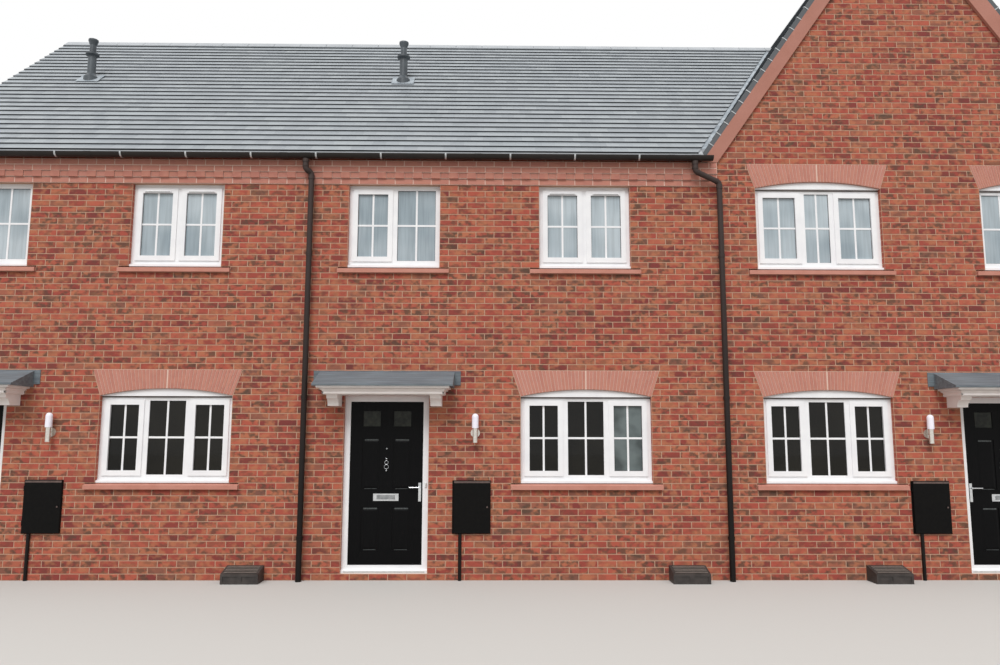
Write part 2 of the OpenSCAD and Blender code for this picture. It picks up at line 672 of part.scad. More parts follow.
// Weathered sill along the foot of a door frame
weather_h = 48;
weather_out = 38;
weather_fall = 16;
leaf_half = door_w / 2 - jamb_face + leaf_lap;
sill_gap = 7;
leaf_z0 = floor_z + sill_gap;
leaf_z1 = door_h - jamb_face + leaf_lap;
leaf_y0 = recess + jamb_lip + leaf_gap;
leaf_y1 = leaf_y0 + leaf_t;
pin_back = 1.5;
hinge_y = leaf_y1 + knuckle_r + pin_back;
hinge_zs = [250, 1000, 1750];
hinge_h = 100;
hinge_play = 0.5;
plate_w = 28;
plate_t = 3;
plate_gap = 1;
module rect(x0, x1, z0, z1) translate([x0, z0]) square([x1 - x0, z1 - z0]);
module door_frame() {
    upright(recess, recess + jamb_lip) difference() {
        rect(-door_w / 2, door_w / 2, 0, door_h);
        rect(-door_w / 2 + jamb_face, door_w / 2 - jamb_face, lip_z, door_h - jamb_face);
    }
    upright(recess + jamb_lip - eps, recess + frame_d) difference() {
        rect(-door_w / 2, door_w / 2, 0, door_h);
        rect(-leaf_half - leaf_gap, leaf_half + leaf_gap, floor_z, leaf_z1 + leaf_gap);
    }
    lengthwise(-door_w / 2, door_w / 2) polygon([[recess, 0], [recess, weather_h],
        [recess - weather_out, weather_h - weather_fall], [recess - weather_out, 0]]);
}
module door_frames() color("#f0f1f2") both_sides() for (i = [0:2]) translate([door_x(i), 0, 0]) door_frame();
panel_x = 185;
panel_w = 220;
panel_rim = 12;
panel_slope = 26;
panel_rows = [[255, 760], [970, 1575]];
light_row = [1716, 1913];
// A raised panel: its sides slope up to a flat field, and the mitres are where the slopes meet
module fielded(w, h) intersection() {
    translate([0, 0, -h / 2]) linear_extrude(h) polygon([[-w / 2, 0], [-w / 2 + panel_slope, -panel_groove],
        [w / 2 - panel_slope, -panel_groove], [w / 2, 0]]);
    lengthwise(-w / 2, w / 2) polygon([[0, -h / 2], [0, h / 2], [-panel_groove, h / 2 - panel_slope],
        [-panel_groove, -h / 2 + panel_slope]]);
}
module leaf() {
    difference() {
        upright(leaf_y0, leaf_y1) rect(-leaf_half, leaf_half, leaf_z0, leaf_z1);
        for (sx = [-1, 1]) for (row = concat(panel_rows, [light_row]))
            upright(leaf_y0 - eps, leaf_y0 + panel_groove)
                rect(sx * panel_x - panel_w / 2, sx * panel_x + panel_w / 2, row[0], row[1]);
    }
    for (sx = [-1, 1]) for (row = panel_rows)
        translate([sx * panel_x, leaf_y0 + panel_groove, (row[0] + row[1]) / 2])
            fielded(panel_w - 2 * panel_rim, row[1] - row[0] - 2 * panel_rim);
}
module on_door(i) front_side() translate([door_x(i), 0, 0]) mirror([hand[i] < 0 ? 1 : 0, 0, 0]) children();
// Hinge at the left edge of a leaf: the frame's half carries the pin
module frame_hinge() translate([-leaf_half, hinge_y, 0]) for (z = hinge_zs) translate([0, 0, z]) {
    for (dz = [0, hinge_h * 2 / 3]) translate([0, 0, dz]) {
        cylinder(r = knuckle_r, h = hinge_h / 3);
        translate([-leaf_gap - plate_w, recess + frame_d - hinge_y, 0])
            cube([plate_w + leaf_gap - plate_gap, plate_t, hinge_h / 3]);
    }
    cylinder(r = pin_r, h = hinge_h);
}
module leaf_hinge() translate([-leaf_half, hinge_y, 0]) for (z = hinge_zs)
    translate([0, 0, z + hinge_h / 3 + hinge_play]) difference() {
        union() {
            cylinder(r = knuckle_r, h = hinge_h / 3 - 2 * hinge_play);
            translate([plate_gap, leaf_y1 - hinge_y, 0])
                cube([plate_w, plate_t, hinge_h / 3 - 2 * hinge_play]);
        }
        translate([0, 0, -eps]) cylinder(r = pin_r + pin_gap, h = hinge_h);
    }
module door_hinges() color("#c9ccce") for (i = [0:2]) on_door(i) frame_hinge();
// Lever handles on both faces, and the letter plate
handle_x = 405;
handle_z = 995;
backplate = [32, 10, 220];
backplate_drop = 165;
spindle_r = 9;
grip_r = 8;
grip_out = 45;
grip_l = 125;
flap_w = 304;
flap_z = [836, 921];
flap_t = 8;
module lever(y0, dir) translate([handle_x, y0, handle_z]) {
    translate([-backplate[0] / 2, dir < 0 ? -backplate[1] : 0, -backplate_drop]) cube(backplate);
    rotate([dir < 0 ? 90 : -90, 0, 0]) cylinder(r = spindle_r, h = grip_out + spindle_r);
    translate([0, dir * grip_out, 0]) rotate([0, -90, 0]) cylinder(r = grip_r, h = grip_l);
}
module fittings() {
    lever(leaf_y0, -1);
    lever(leaf_y1, 1);
    block(-flap_w / 2, flap_w / 2, leaf_y0 - flap_t, leaf_y0, flap_z[0], flap_z[1]);
    leaf_hinge();
}
module left_door() color("#15171a") on_door(0) leaf();
module left_door_fittings() color("#d8dadc") on_door(0) fittings();
module middle_door() color("#15171a") on_door(1) leaf();
module middle_door_fittings() color("#d8dadc") on_door(1) fittings();
module right_door() color("#15171a") on_door(2) leaf();
module right_door_fittings() color("#d8dadc") on_door(2) fittings();
module rear_doors() color("#15171a") for (i = [0:2]) rear_side() translate([door_x(i), 0, 0])
    upright(recess + jamb_lip, leaf_y1)
        rect(-leaf_half - leaf_gap, leaf_half + leaf_gap, floor_z, leaf_z1 + leaf_gap);

// Door canopies
function arc(cx, cy, r, a0, a1, n) = [for (k = [0:n]) let (a = a0 + (a1 - a0) * k / n)
    [cx + r * cos(a), cy + r * sin(a)]];
cornice_out = 440;
fillet_h = 5;
drip_h = 22;
module cornice_side(reach) polygon(concat(
    [[0, canopy_z + cornice_h], [0, canopy_z], [reach - mould_out, canopy_z]],
    arc(reach, canopy_z + fillet_h, mould_out, 180, 90, 8), [[reach, canopy_z + cornice_h]]));
module canopy_cornice() intersection() {
    mirror([0, 1, 0]) lengthwise(-cornice_half, cornice_half) cornice_side(cornice_out);
    upright(-canopy_out, 0) union() {
        cornice_side(cornice_half);
        mirror([1, 0]) cornice_side(cornice_half);
    }
}
module canopy_roof() lengthwise(-canopy_half, canopy_half) polygon([
    [0, canopy_z + cornice_h], [0, canopy_z + cornice_h + canopy_rise],
    [-canopy_out, canopy_z + cornice_h + drip_h], [-canopy_out, canopy_z + cornice_h]]);
bracket_h = 130;
bracket_out = 300;
bracket_nose = 45;
module canopy_bracket() lengthwise(-bracket_w / 2, bracket_w / 2) polygon(concat(
    [[0, canopy_z - bracket_h], [0, canopy_z], [-bracket_out, canopy_z],
        [-bracket_out, canopy_z - bracket_nose]],
    arc(-bracket_out, canopy_z - bracket_h, bracket_h - bracket_nose, 90, 0, 8)));
module each_door() for (i = [0:2]) front_side() translate([door_x(i), 0, 0]) children();
module canopy_roofs() color("#7f8a92") each_door() canopy_roof();
module canopy_cornices() color("#efe9ea") each_door() canopy_cornice();
module canopy_brackets() color("#efe9ea") each_door()
    for (sx = [-1, 1]) translate([sx * bracket_x, 0, 0]) canopy_bracket();

// Wall lights
light_out = 80;
light_z = 1530;
holder_r = 29;
holder_h = 172;
rose_r = 55;
rose_t = 14;
arm_r = 12;
arm_z = 1646;
shade_r = 40;
shade_h = 134;
module each_light() for (i = [0:2]) front_side() translate([house_x(i, light_u[i]), 0, 0]) children();
module wall_light_holders() color("#c4c6c8") each_light() {
    translate([0, -light_out, light_z]) cylinder(r = holder_r, h = holder_h);
    translate([0, 0, arm_z]) rotate([90, 0, 0]) cylinder(r = rose_r, h = rose_t);
    translate([0, 0, arm_z]) rotate([90, 0, 0]) cylinder(r = arm_r, h = light_out);
}
module wall_light_shades() color("#f4f2fb") each_light() translate([0, -light_out, light_z + holder_h]) {
    cylinder(r = shade_r, h = shade_h);
    translate([0, 0, shade_h]) sphere(shade_r);
}

// Meter cabinets in the wall, with doors hinged at the left
lid_x = cabinet_w / 2;
lid_y = -flange_t - lid_gap;
cabinet_pin_out = 7;
cabinet_pin_x = -lid_x - cabinet_pin_out;
cabinet_pin_y = lid_y - cabinet_pin_out;
ear_w = 14;
web_t = 6;
leaf_web = 8;
lock_r = 11;
lock_t = 6;
lock_in = 40;
cabinet_knuckle_r = 5;
cabinet_pin_r = 2.5;
cabinet_hinge_zs = [90, 490];
cabinet_hinge_h = 60;
conduit_r = 20;
conduit_x = 140;
conduit_gap = 0.3;
module each_cabinet(i) front_side() translate([cabinet_x(i), 0, cabinet_z]) children();
cabinet_in = flange_t + cabinet_t;
module cabinet() {
    difference() {
        union() {
            block(-lid_x + flange_t, lid_x - flange_t, -eps, cabinet_d, flange_t, cabinet_h - flange_t);
            block(-lid_x - ear_w, lid_x, -flange_t, 0, 0, cabinet_h);
        }
        block(-lid_x + cabinet_in, lid_x - cabinet_in, -flange_t - eps, cabinet_d - cabinet_t,
            cabinet_in, cabinet_h - cabinet_in);
    }
    for (z = cabinet_hinge_zs) translate([cabinet_pin_x, cabinet_pin_y, z]) {
        cylinder(r = cabinet_pin_r, h = cabinet_hinge_h);
        for (dz = [0, cabinet_hinge_h * 2 / 3]) translate([0, 0, dz]) {
            cylinder(r = cabinet_knuckle_r, h = cabinet_hinge_h / 3);
            translate([-web_t / 2, 0, 0]) cube([web_t, -flange_t - cabinet_pin_y, cabinet_hinge_h / 3]);
        }
    }
}
module meter_cabinets() color("#1b1c1e") for (i = [0:2]) each_cabinet(i) cabinet();
module meter_conduits() color("#1b1c1e") for (i = [0:2]) each_cabinet(i)
    translate([-conduit_x, -conduit_r, -cabinet_z - plinth_h])
        cylinder(r = conduit_r, h = cabinet_z + plinth_h - conduit_gap);
// The face of a cabinet door is chamfered all round
lid_chamfer = 7;
module lid() intersection() {
    upright(lid_y - lid_t, lid_y) rect(-lid_x, lid_x, 0, cabinet_h);
    linear_extrude(cabinet_h) polygon([[-lid_x, lid_y], [-lid_x, lid_y - lid_t + lid_chamfer],
        [-lid_x + lid_chamfer, lid_y - lid_t], [lid_x - lid_chamfer, lid_y - lid_t],
        [lid_x, lid_y - lid_t + lid_chamfer], [lid_x, lid_y]]);
    lengthwise(-lid_x, lid_x) polygon([[lid_y, 0], [lid_y, cabinet_h],
        [lid_y - lid_t + lid_chamfer, cabinet_h], [lid_y - lid_t, cabinet_h - lid_chamfer],
        [lid_y - lid_t, lid_chamfer], [lid_y - lid_t + lid_chamfer, 0]]);
}
module meter_door() difference() {
    union() {
        lid();
        translate([lid_x - lock_in, lid_y - lid_t, cabinet_h / 2]) rotate([90, 0, 0])
            cylinder(r = lock_r, h = lock_t);
        for (z = cabinet_hinge_zs)
            translate([cabinet_pin_x, cabinet_pin_y, z + cabinet_hinge_h / 3 + hinge_play]) {
                cylinder(r = cabinet_knuckle_r, h = cabinet_hinge_h / 3 - 2 * hinge_play);
                translate([0, -web_t / 2, 0]) cube([leaf_web, web_t, cabinet_hinge_h / 3 - 2 * hinge_play]);
            }
    }
    for (z = cabinet_hinge_zs) translate([cabinet_pin_x, cabinet_pin_y, z])
        cylinder(r = cabinet_pin_r + pin_gap, h = cabinet_hinge_h);
}
module left_meter_door() color("#1b1c1e") each_cabinet(0) meter_door();
module middle_meter_door() color("#1b1c1e") each_cabinet(1) meter_door();
module right_meter_door() color("#1b1c1e") each_cabinet(2) meter_door();
// Low gas housings at the foot of the wall: a ribbed lid slopes to a front with two sunk panels
gas_w = 430;
gas_out = 255;
gas_h = 175;
gas_front_h = 112;
gas_ledge = 30;
gas_ribs = 5;
gas_rib_w = 14;
gas_rib_h = 6;
gas_edge = 26;
gas_sunk = 8;
gas_lean = atan2(gas_h - gas_front_h, gas_out - gas_ledge);
gas_slope_l = norm([gas_h - gas_front_h, gas_out - gas_ledge]);
module gas_housing() {
    difference() {
        lengthwise(-gas_w / 2, gas_w / 2)
            polygon([[0, 0], [0, gas_h], [-gas_ledge, gas_h], [-gas_out, gas_front_h], [-gas_out, 0]]);
        for (sx = [-1, 1]) upright(-gas_out - eps, -gas_out + gas_sunk) translate([sx * gas_w / 4, 0])
            rect(-gas_w / 4 + gas_edge, gas_w / 4 - gas_edge, gas_edge, gas_front_h - gas_edge);
    }
    for (k = [1:gas_ribs]) translate([0, -gas_out, gas_front_h]) rotate([gas_lean, 0, 0])
        translate([-gas_w / 2 + gas_edge, k * gas_slope_l / (gas_ribs + 1) - gas_rib_w / 2, -eps])
            cube([gas_w - 2 * gas_edge, gas_rib_w, gas_rib_h + eps]);
}
module gas_housings() color("#4a4745") for (i = [0:2]) front_side()
    translate([house_x(i, gas_u[i]), 0, -plinth_h]) gas_housing();

ground_floor();
first_floor();
front_wall_ground();
meter_piers();
front_wall_upper();
rear_wall_ground();
rear_wall_upper();
gable_walls();
walls_at_doors();
party_walls();
window_arches();
window_sills();
eaves_corbels();
raking_bands();
main_roof();
gable_roof();
ridge_tiles();
valley_leads();
roof_vents();
gutters();
gutter_straps();
downpipes();
window_frames();
casements();
window_glass();
door_frames();
door_hinges();
left_door();
left_door_fittings();
middle_door();
middle_door_fittings();
right_door();
right_door_fittings();
rear_doors();
canopy_roofs();
canopy_cornices();
canopy_brackets();
wall_light_holders();
wall_light_shades();
meter_cabinets();
meter_conduits();
left_meter_door();
middle_meter_door();
right_meter_door();
gas_housings();
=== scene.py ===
import math
import random

import bmesh
import bpy
from mathutils import Matrix, Vector


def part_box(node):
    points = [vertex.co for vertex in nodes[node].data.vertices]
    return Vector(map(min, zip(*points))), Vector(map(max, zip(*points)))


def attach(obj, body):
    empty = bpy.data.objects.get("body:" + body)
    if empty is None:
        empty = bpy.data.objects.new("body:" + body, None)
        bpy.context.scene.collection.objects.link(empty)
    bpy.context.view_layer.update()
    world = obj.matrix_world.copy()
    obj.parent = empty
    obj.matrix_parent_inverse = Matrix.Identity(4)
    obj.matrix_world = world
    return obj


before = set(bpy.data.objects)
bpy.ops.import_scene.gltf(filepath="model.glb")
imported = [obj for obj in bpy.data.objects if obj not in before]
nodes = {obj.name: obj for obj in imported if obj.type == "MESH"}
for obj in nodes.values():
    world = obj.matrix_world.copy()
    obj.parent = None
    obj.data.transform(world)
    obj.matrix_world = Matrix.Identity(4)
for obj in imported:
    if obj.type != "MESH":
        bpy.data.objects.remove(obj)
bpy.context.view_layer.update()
scene = bpy.context.scene
houses = ("left", "middle", "right")


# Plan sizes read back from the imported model
wallY = -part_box("front_wall_upper")[0].y
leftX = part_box("front_wall_upper")[0].x
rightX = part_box("gable_walls")[1].x
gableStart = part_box("gable_walls")[0].x
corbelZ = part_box("eaves_corbels")[0].z
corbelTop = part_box("eaves_corbels")[1].z
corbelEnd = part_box("eaves_corbels")[1].x
houseWide = (rightX - leftX) / 3
gableX = rightX - houseWide
gableMid = (gableX + rightX) / 2

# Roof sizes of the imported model, with two directions on the front slope of the long roof
roof = {"pitch": math.radians(42), "faceZ": 5.290, "eavesOut": 0.11,
        "gablePitch": math.radians(55), "gableFaceZ": 5.340, "vergeOut": 0.075, "thick": 0.100}
ridgeZ = roof["faceZ"] + wallY * math.tan(roof["pitch"])
gableRidgeZ = roof["gableFaceZ"] + (gableMid - gableX) * math.tan(roof["gablePitch"])
gableUnder = roof["thick"] / math.cos(roof["gablePitch"])
gableFoot = gableX + (corbelTop + gableUnder - roof["gableFaceZ"]) / math.tan(roof["gablePitch"])
slopeUp = (0, math.cos(roof["pitch"]), math.sin(roof["pitch"]))
slopeOut = (0, -math.sin(roof["pitch"]), math.cos(roof["pitch"]))

# Brickwork in stretcher bond
bond = {"course": 0.075, "length": 0.225, "phase": 0.0315, "gablePhase": 0.05625, "change": gableX + 0.085,
        "smallest": 0.052, "leastArea": 0.0006, "lap": 0.05, "behindBand": 0.03,
        "bed": 0.0015, "joint": 0.0050, "arris": 0.0012, "rise": 0.0032}


def looseBoxes(name, side=0):  # low and high corner of every separate solid of a node, all or on one side
    bm = bmesh.new()
    bm.from_mesh(nodes[name].data)
    bmesh.ops.remove_doubles(bm, verts=bm.verts, dist=0.00001)
    left = set(bm.verts)
    boxes = []
    while left:
        group, edge = set(), [left.pop()]
        while edge:
            vert = edge.pop()
            group.add(vert)
            for link in vert.link_edges:
                other = link.other_vert(vert)
                if other in left:
                    left.discard(other)
                    edge.append(other)
        low, high = (Vector([pick(v.co[i] for v in group) for i in range(3)]) for pick in (min, max))
        if low.y * side >= 0:
            boxes.append((low, high))
    bm.free()
    return sorted(boxes, key=lambda box: (round(box[0].y, 3), round(box[0].x, 3), round(box[0].z, 3)))


# Materials
def tone(red, green, blue):  # a colour as it is read off a screen
    shares = [value / 255 for value in (red, green, blue)]
    return [(s / 12.92 if s <= 0.04 else ((s + 0.055) / 1.055) ** 2.4) for s in shares] + [1]


def newMaterial(name, roughness, metallic=0.0, sheen=0.5):
    made = bpy.data.materials.new(name)
    made.use_nodes = True
    shader = made.node_tree.nodes["Principled BSDF"]
    for key, value in (("Roughness", roughness), ("Metallic", metallic), ("Specular IOR Level", sheen)):
        shader.inputs[key].default_value = value
    return made, made.node_tree, shader


def feed(tree, made, key, value):  # joins a socket to an input, or sets its value
    if isinstance(value, bpy.types.NodeSocket):
        tree.links.new(value, made.inputs[key])
    else:
        made.inputs[key].default_value = value


def node(tree, kind, inputs=None, **settings):
    made = tree.nodes.new("ShaderNode" + kind)
    for key, value in settings.items():
        setattr(made, key, value)
    for key, value in (inputs or {}).items():
        feed(tree, made, key, value)
    return made


def spots(tree):
    return node(tree, "TexCoord").outputs["Object"]


def split(tree, where):
    return node(tree, "SeparateXYZ", {0: where}).outputs


def stretch(tree, where, scale):
    return node(tree, "Mapping", {"Vector": where, "Scale": scale}).outputs[0]


def noise(tree, where, scale, detail=3.0):
    sizes = {"Vector": where, "Scale": scale, "Detail": detail, "Roughness": 0.55}
    return node(tree, "TexNoise", sizes).outputs["Fac"]


def ramp(tree, value, stops):  # the shade of a stop is a grey from 0 to 1, or red, green and blue
    made = node(tree, "ValToRGB", {"Fac": value})
    line = made.color_ramp
    while len(line.elements) < len(stops):
        line.elements.new(0.5)
    for spot, (place, shade) in zip(line.elements, stops):
        spot.position = place
        spot.color = tone(*shade) if isinstance(shade, tuple) else (shade, shade, shade, 1)
    return made.outputs["Color"]


def sums(tree, how, first, second):
    return node(tree, "Math", {0: first, 1: second}, operation=how).outputs[0]


def blendTones(tree, share, first, second, how="MIX"):
    made = node(tree, "Mix", data_type="RGBA", blend_type=how)
    for key, value in (("Factor", share), (6, first), (7, second)):
        feed(tree, made, key, value)
    return made.outputs[2]


def mottle(tree, share, body, value, dark, start=0.3, end=0.7):  # darkens a tone where a noise is low
    return blendTones(tree, share, body, ramp(tree, value, [(start, dark), (end, 1.0)]), "MULTIPLY")


def attribute(tree, name):
    return node(tree, "Attribute", attribute_name=name).outputs["Fac"]


def paint(tree, shader, body, height, strength, distance):  # gives the shader its colour and its bumps
    made = node(tree, "Bump", {"Height": height, "Strength": strength, "Distance": distance})
    tree.links.new(body, shader.inputs["Base Color"])
    tree.links.new(made.outputs["Normal"], shader.inputs["Normal"])


# Patches, grain and sand of the bricks: scales of the noises, and how far the tint moves them
clay = {"roughness": 0.88, "apart": (37.0, 11.0), "drawn": (0.7, 0.7, 0.9), "warm": 12.0, "burnt": 16.0,
        "lots": 17.0, "grain": 260.0, "sand": 90.0}


def brickFinish(name, tones, mortar, glow, burnt, burntShare, speckle=0.25):
    made, tree, shader = newMaterial(name, clay["roughness"])
    where = spots(tree)
    tint = attribute(tree, "tint")
    body = ramp(tree, tint, tones)
    apart = [sums(tree, "MULTIPLY", tint, value) for value in clay["apart"]]
    shift = node(tree, "CombineXYZ", {"X": apart[0], "Z": apart[1]}).outputs[0]
    own = node(tree, "VectorMath", {0: where, 1: shift}).outputs[0]
    drawn = stretch(tree, own, clay["drawn"])
    warm = ramp(tree, noise(tree, drawn, clay["warm"], 2.0), [(0.46, 0.0), (0.6, 0.8)])
    body = blendTones(tree, warm, body, glow)
    # some bricks are burnt more than others
    lot = sums(tree, "FRACT", sums(tree, "MULTIPLY", tint, clay["lots"]), 0.0)
    patch = ramp(tree, noise(tree, drawn, clay["burnt"]), [(0.46, 0.0), (0.6, 1.0)])
    share = sums(tree, "MULTIPLY", ramp(tree, lot, [(0.15, 0.3), (0.8, 1.0)]), burntShare)
    body = blendTones(tree, sums(tree, "MULTIPLY", patch, share), body, burnt)
    grain = noise(tree, where, clay["grain"], 2.0)
    body = mottle(tree, speckle, body, grain, 0.45, 0.35, 0.65)
    sand = noise(tree, where, clay["sand"])
    bed = mottle(tree, 0.35, mortar, sand, 0.6)
    body = blendTones(tree, attribute(tree, "mortar"), body, bed)
    paint(tree, shader, body, sums(tree, "ADD", sums(tree, "MULTIPLY", grain, 0.5), sand), 0.5, 0.003)
    return made


def wallFinish():  # reveals in brick courses, plaster on the inside
    look = {"courses": (tone(164, 82, 65), tone(180, 96, 73)), "mortar": tone(190, 152, 128),
            "plaster": [(0.3, (206, 202, 194)), (0.7, (222, 219, 212))], "facing": 0.29}
    made, tree, shader = newMaterial("wallReveal", 0.9)
    where = spots(tree)
    axes = split(tree, where)
    along = sums(tree, "ADD", axes["X"], axes["Y"])
    flat = node(tree, "CombineXYZ", {"X": along, "Y": axes["Z"]}).outputs[0]
    courses = node(tree, "TexBrick", {
        "Vector": flat, "Color1": look["courses"][0], "Color2": look["courses"][1], "Mortar": look["mortar"],
        "Scale": 1.0, "Mortar Size": bond["joint"], "Mortar Smooth": 0.1, "Bias": 0.0,
        "Brick Width": bond["length"], "Row Height": bond["course"]}, offset=0.5, squash=1.0)
    grain = noise(tree, where, 120.0)
    outside = mottle(tree, 0.3, courses.outputs["Color"], grain, 0.5)
    inside = ramp(tree, noise(tree, where, 3.0, 4.0), look["plaster"])
    deep = node(tree, "Math", {0: axes["Y"]}, operation="ABSOLUTE").outputs[0]
    outer = sums(tree, "GREATER_THAN", deep, wallY - look["facing"])
    paint(tree, shader, blendTones(tree, outer, inside, outside), grain, 0.3, 0.002)
    return made


def stoneFinish(name, low, high, scale=6.0, roughness=0.8, grit=170.0):
    made, tree, shader = newMaterial(name, roughness)
    where = spots(tree)
    body = ramp(tree, noise(tree, where, scale, 4.0), [(0.3, low), (0.7, high)])
    grain = noise(tree, where, grit)
    paint(tree, shader, mottle(tree, 0.22, body, grain, 0.55), grain, 0.35, 0.0015)
    return made


def tileFinish():
    tones = [(0.0, (142, 148, 153)), (0.5, (149, 155, 160)), (1.0, (157, 163, 167))]
    made, tree, shader = newMaterial("slateTile", 0.42)
    where = spots(tree)
    body = ramp(tree, attribute(tree, "tint"), tones)
    body = mottle(tree, 0.2, body, noise(tree, where, 2.2, 5.0), 0.72)
    grain = noise(tree, where, 240.0, 2.0)
    body = mottle(tree, 0.15, body, grain, 0.5)
    # painted shade: the shade layer darkens the tile front edges fully and the gaps between tiles in part
    body = blendTones(tree, attribute(tree, "shade"), body, tone(48, 50, 53))
    paint(tree, shader, body, grain, 0.2, 0.001)
    return made


def plasticFinish(name, low, high, roughness, ripple=0.15, metallic=0.0, scale=5.0, depth=0.0006, sheen=0.5):
    made, tree, shader = newMaterial(name, roughness, metallic, sheen)
    where = spots(tree)
    body = ramp(tree, noise(tree, where, scale), [(0.35, low), (0.65, high)])
    ripples = noise(tree, where, scale * 14, 2.0)
    paint(tree, shader, body, ripples, ripple, depth)
    return made


def leadFinish():  # dull sheet with level streaks
    tones = [(0.32, (92, 99, 106)), (0.52, (106, 114, 119)), (0.7, (116, 127, 134))]
    made, tree, shader = newMaterial("canopyLead", 0.6, sheen=0.3)
    where = spots(tree)
    streaks = noise(tree, stretch(tree, where, (0.9, 7.0, 12.0)), 3.0, 4.0)
    paint(tree, shader, ramp(tree, streaks, tones), noise(tree, where, 9.0), 0.6, 0.006)
    return made


def pipeFinish():  # painted shade: darker towards the ground
    made, tree, shader = newMaterial("pipeWithPaintedShade", 0.4, sheen=0.2)
    where = spots(tree)
    reach = {"Value": split(tree, where)["Z"], "From Min": 0.8, "From Max": 5.0}
    share = node(tree, "MapRange", reach).outputs[0]
    body = blendTones(tree, share, tone(20, 16, 14), tone(66, 55, 52))
    body = mottle(tree, 0.3, body, noise(tree, where, 5.0), 0.7)
    paint(tree, shader, body, noise(tree, where, 70.0, 2.0), 0.15, 0.0006)
    return made


def doorFinish():  # moulded skin with an upright wood grain
    made, tree, shader = newMaterial("doorSkin", 0.34, sheen=0.08)
    lines = noise(tree, stretch(tree, spots(tree), (1.0, 1.0, 0.06)), 240.0)
    paint(tree, shader, ramp(tree, lines, [(0.3, (7, 7, 8)), (0.7, (14, 14, 15))]), lines, 0.25, 0.0006)
    return made


def glassFinish():  # painted shade of dark rooms below, pale blinds above, and one paler light in the middle house
    look = {"paintedRoomShade": [(0.38, (9, 8, 5)), (0.66, (26, 24, 18))],
            "blind": [(0.35, (156, 170, 178)), (0.65, (192, 203, 209))], "blindFrom": 2.975,
            "paler": [(0.35, (72, 80, 80)), (0.65, (108, 118, 118))],
            "palerFrom": houseWide + 3.72, "palerTo": houseWide + 4.3}
    made, tree, shader = newMaterial("sealedUnit", 0.04, sheen=0.3)
    shader.inputs["Alpha"].default_value = 0.9
    where = spots(tree)
    axes = split(tree, where)
    cloud = noise(tree, where, 1.3, 2.0)
    low = ramp(tree, cloud, look["paintedRoomShade"])
    high = ramp(tree, cloud, look["blind"])
    folds = noise(tree, stretch(tree, where, (1.0, 1.0, 0.05)), 38.0, 2.0)
    high = mottle(tree, 1.0, high, folds, 0.86, 0.35, 0.6)
    along = sums(tree, "SUBTRACT", axes["X"], leftX)
    zone = sums(tree, "MULTIPLY", sums(tree, "GREATER_THAN", along, look["palerFrom"]),
                sums(tree, "LESS_THAN", along, look["palerTo"]))
    low = blendTones(tree, zone, low, ramp(tree, noise(tree, where, 4.0, 2.0), look["paler"]))
    upper = sums(tree, "GREATER_THAN", axes["Z"], look["blindFrom"])
    tree.links.new(blendTones(tree, upper, low, high), shader.inputs["Base Color"])
    return made


def boardFinish():
    made, tree, shader = newMaterial("floorBoard", 0.7)
    chips = node(tree, "TexVoronoi", {"Vector": spots(tree), "Scale": 90.0}).outputs["Color"]
    grey = node(tree, "RGBToBW", {0: chips}).outputs[0]
    body = ramp(tree, grey, [(0.2, (176, 148, 108)), (0.8, (206, 182, 142))])
    paint(tree, shader, body, grey, 0.15, 0.0006)
    return made


facing = brickFinish(
    "facingBrick",
    [(0.0, (122, 52, 48)), (0.2, (150, 66, 55)), (0.5, (170, 79, 63)), (0.8, (182, 94, 72)),
     (0.92, (158, 94, 73)), (1.0, (122, 79, 65))],
    mortar=tone(192, 156, 132), glow=tone(180, 112, 80), burnt=tone(80, 62, 48), burntShare=0.8)
rubbed = brickFinish(
    "rubbedBrick",
    [(0.0, (183, 120, 105)), (0.5, (188, 126, 111)), (1.0, (193, 132, 117))],
    mortar=tone(224, 194, 178), glow=tone(192, 130, 112), burnt=tone(166, 108, 94), burntShare=0.2,
    speckle=0.15)
reveal = wallFinish()
castStone = stoneFinish("castSill", (186, 124, 107), (197, 138, 122))
bandRender = stoneFinish("bandRender", (180, 123, 107), (190, 134, 119), 2.5, 0.85, 90.0)
blockwork = stoneFinish("blockwork", (150, 92, 78), (176, 112, 96), 8.0, 0.9, 60.0)
screed = stoneFinish("floatedScreed", (168, 164, 154), (190, 187, 178), 2.0, 0.85, 60.0)
ridgeClay = stoneFinish("ridgeTile", (158, 162, 166), (174, 178, 182), 3.0, 0.5, 200.0)
slate = tileFinish()
lead = plasticFinish("sheetLead", (132, 142, 150), (176, 184, 190), 0.42, 0.5, 0.35, 7.0, 0.004)
canopyLead = leadFinish()
greyVent = plasticFinish("ventPlastic", (58, 64, 69), (78, 85, 90), 0.4)
rainware = plasticFinish("blackRainware", (27, 22, 20), (35, 29, 26), 0.4, sheen=0.3)
pipework = pipeFinish()
galvanised = plasticFinish("galvanisedStrap", (176, 180, 182), (204, 207, 208), 0.35, 0.2, 0.7, 40.0)
whiteFrame = plasticFinish("whiteFrame", (233, 233, 235), (240, 240, 241), 0.28, 0.06)
moulding = plasticFinish("whiteMoulding", (240, 233, 230), (246, 240, 237), 0.5, 0.1, sheen=0.3)
gasket = plasticFinish("blackGasket", (34, 34, 35), (46, 46, 47), 0.6)
# painted shadow: grey strip under the boards over the windows
paintedGapShadow = plasticFinish("headGapPaintedShadow", (96, 88, 86), (112, 103, 100), 0.7)
chrome = plasticFinish("polishedChrome", (205, 207, 210), (222, 224, 226), 0.16, 0.05, 1.0, 30.0)
dullChrome = plasticFinish("dullChrome", (140, 142, 144), (164, 166, 168), 0.25, 0.1, 1.0, 30.0)
satin = plasticFinish("satinSteel", (206, 201, 193), (224, 219, 211), 0.3, 0.15, 0.85, 60.0)
pressed = plasticFinish("pressedPlate", (196, 196, 194), (214, 214, 212), 0.4, 0.1, 0.4, 30.0)
opal = plasticFinish("opalShade", (238, 235, 248), (246, 243, 252), 0.25, 0.02)
cabinetBlack = plasticFinish("cabinetBlack", (9, 8, 8), (14, 13, 12), 0.45, 0.3, scale=30.0, sheen=0.1)
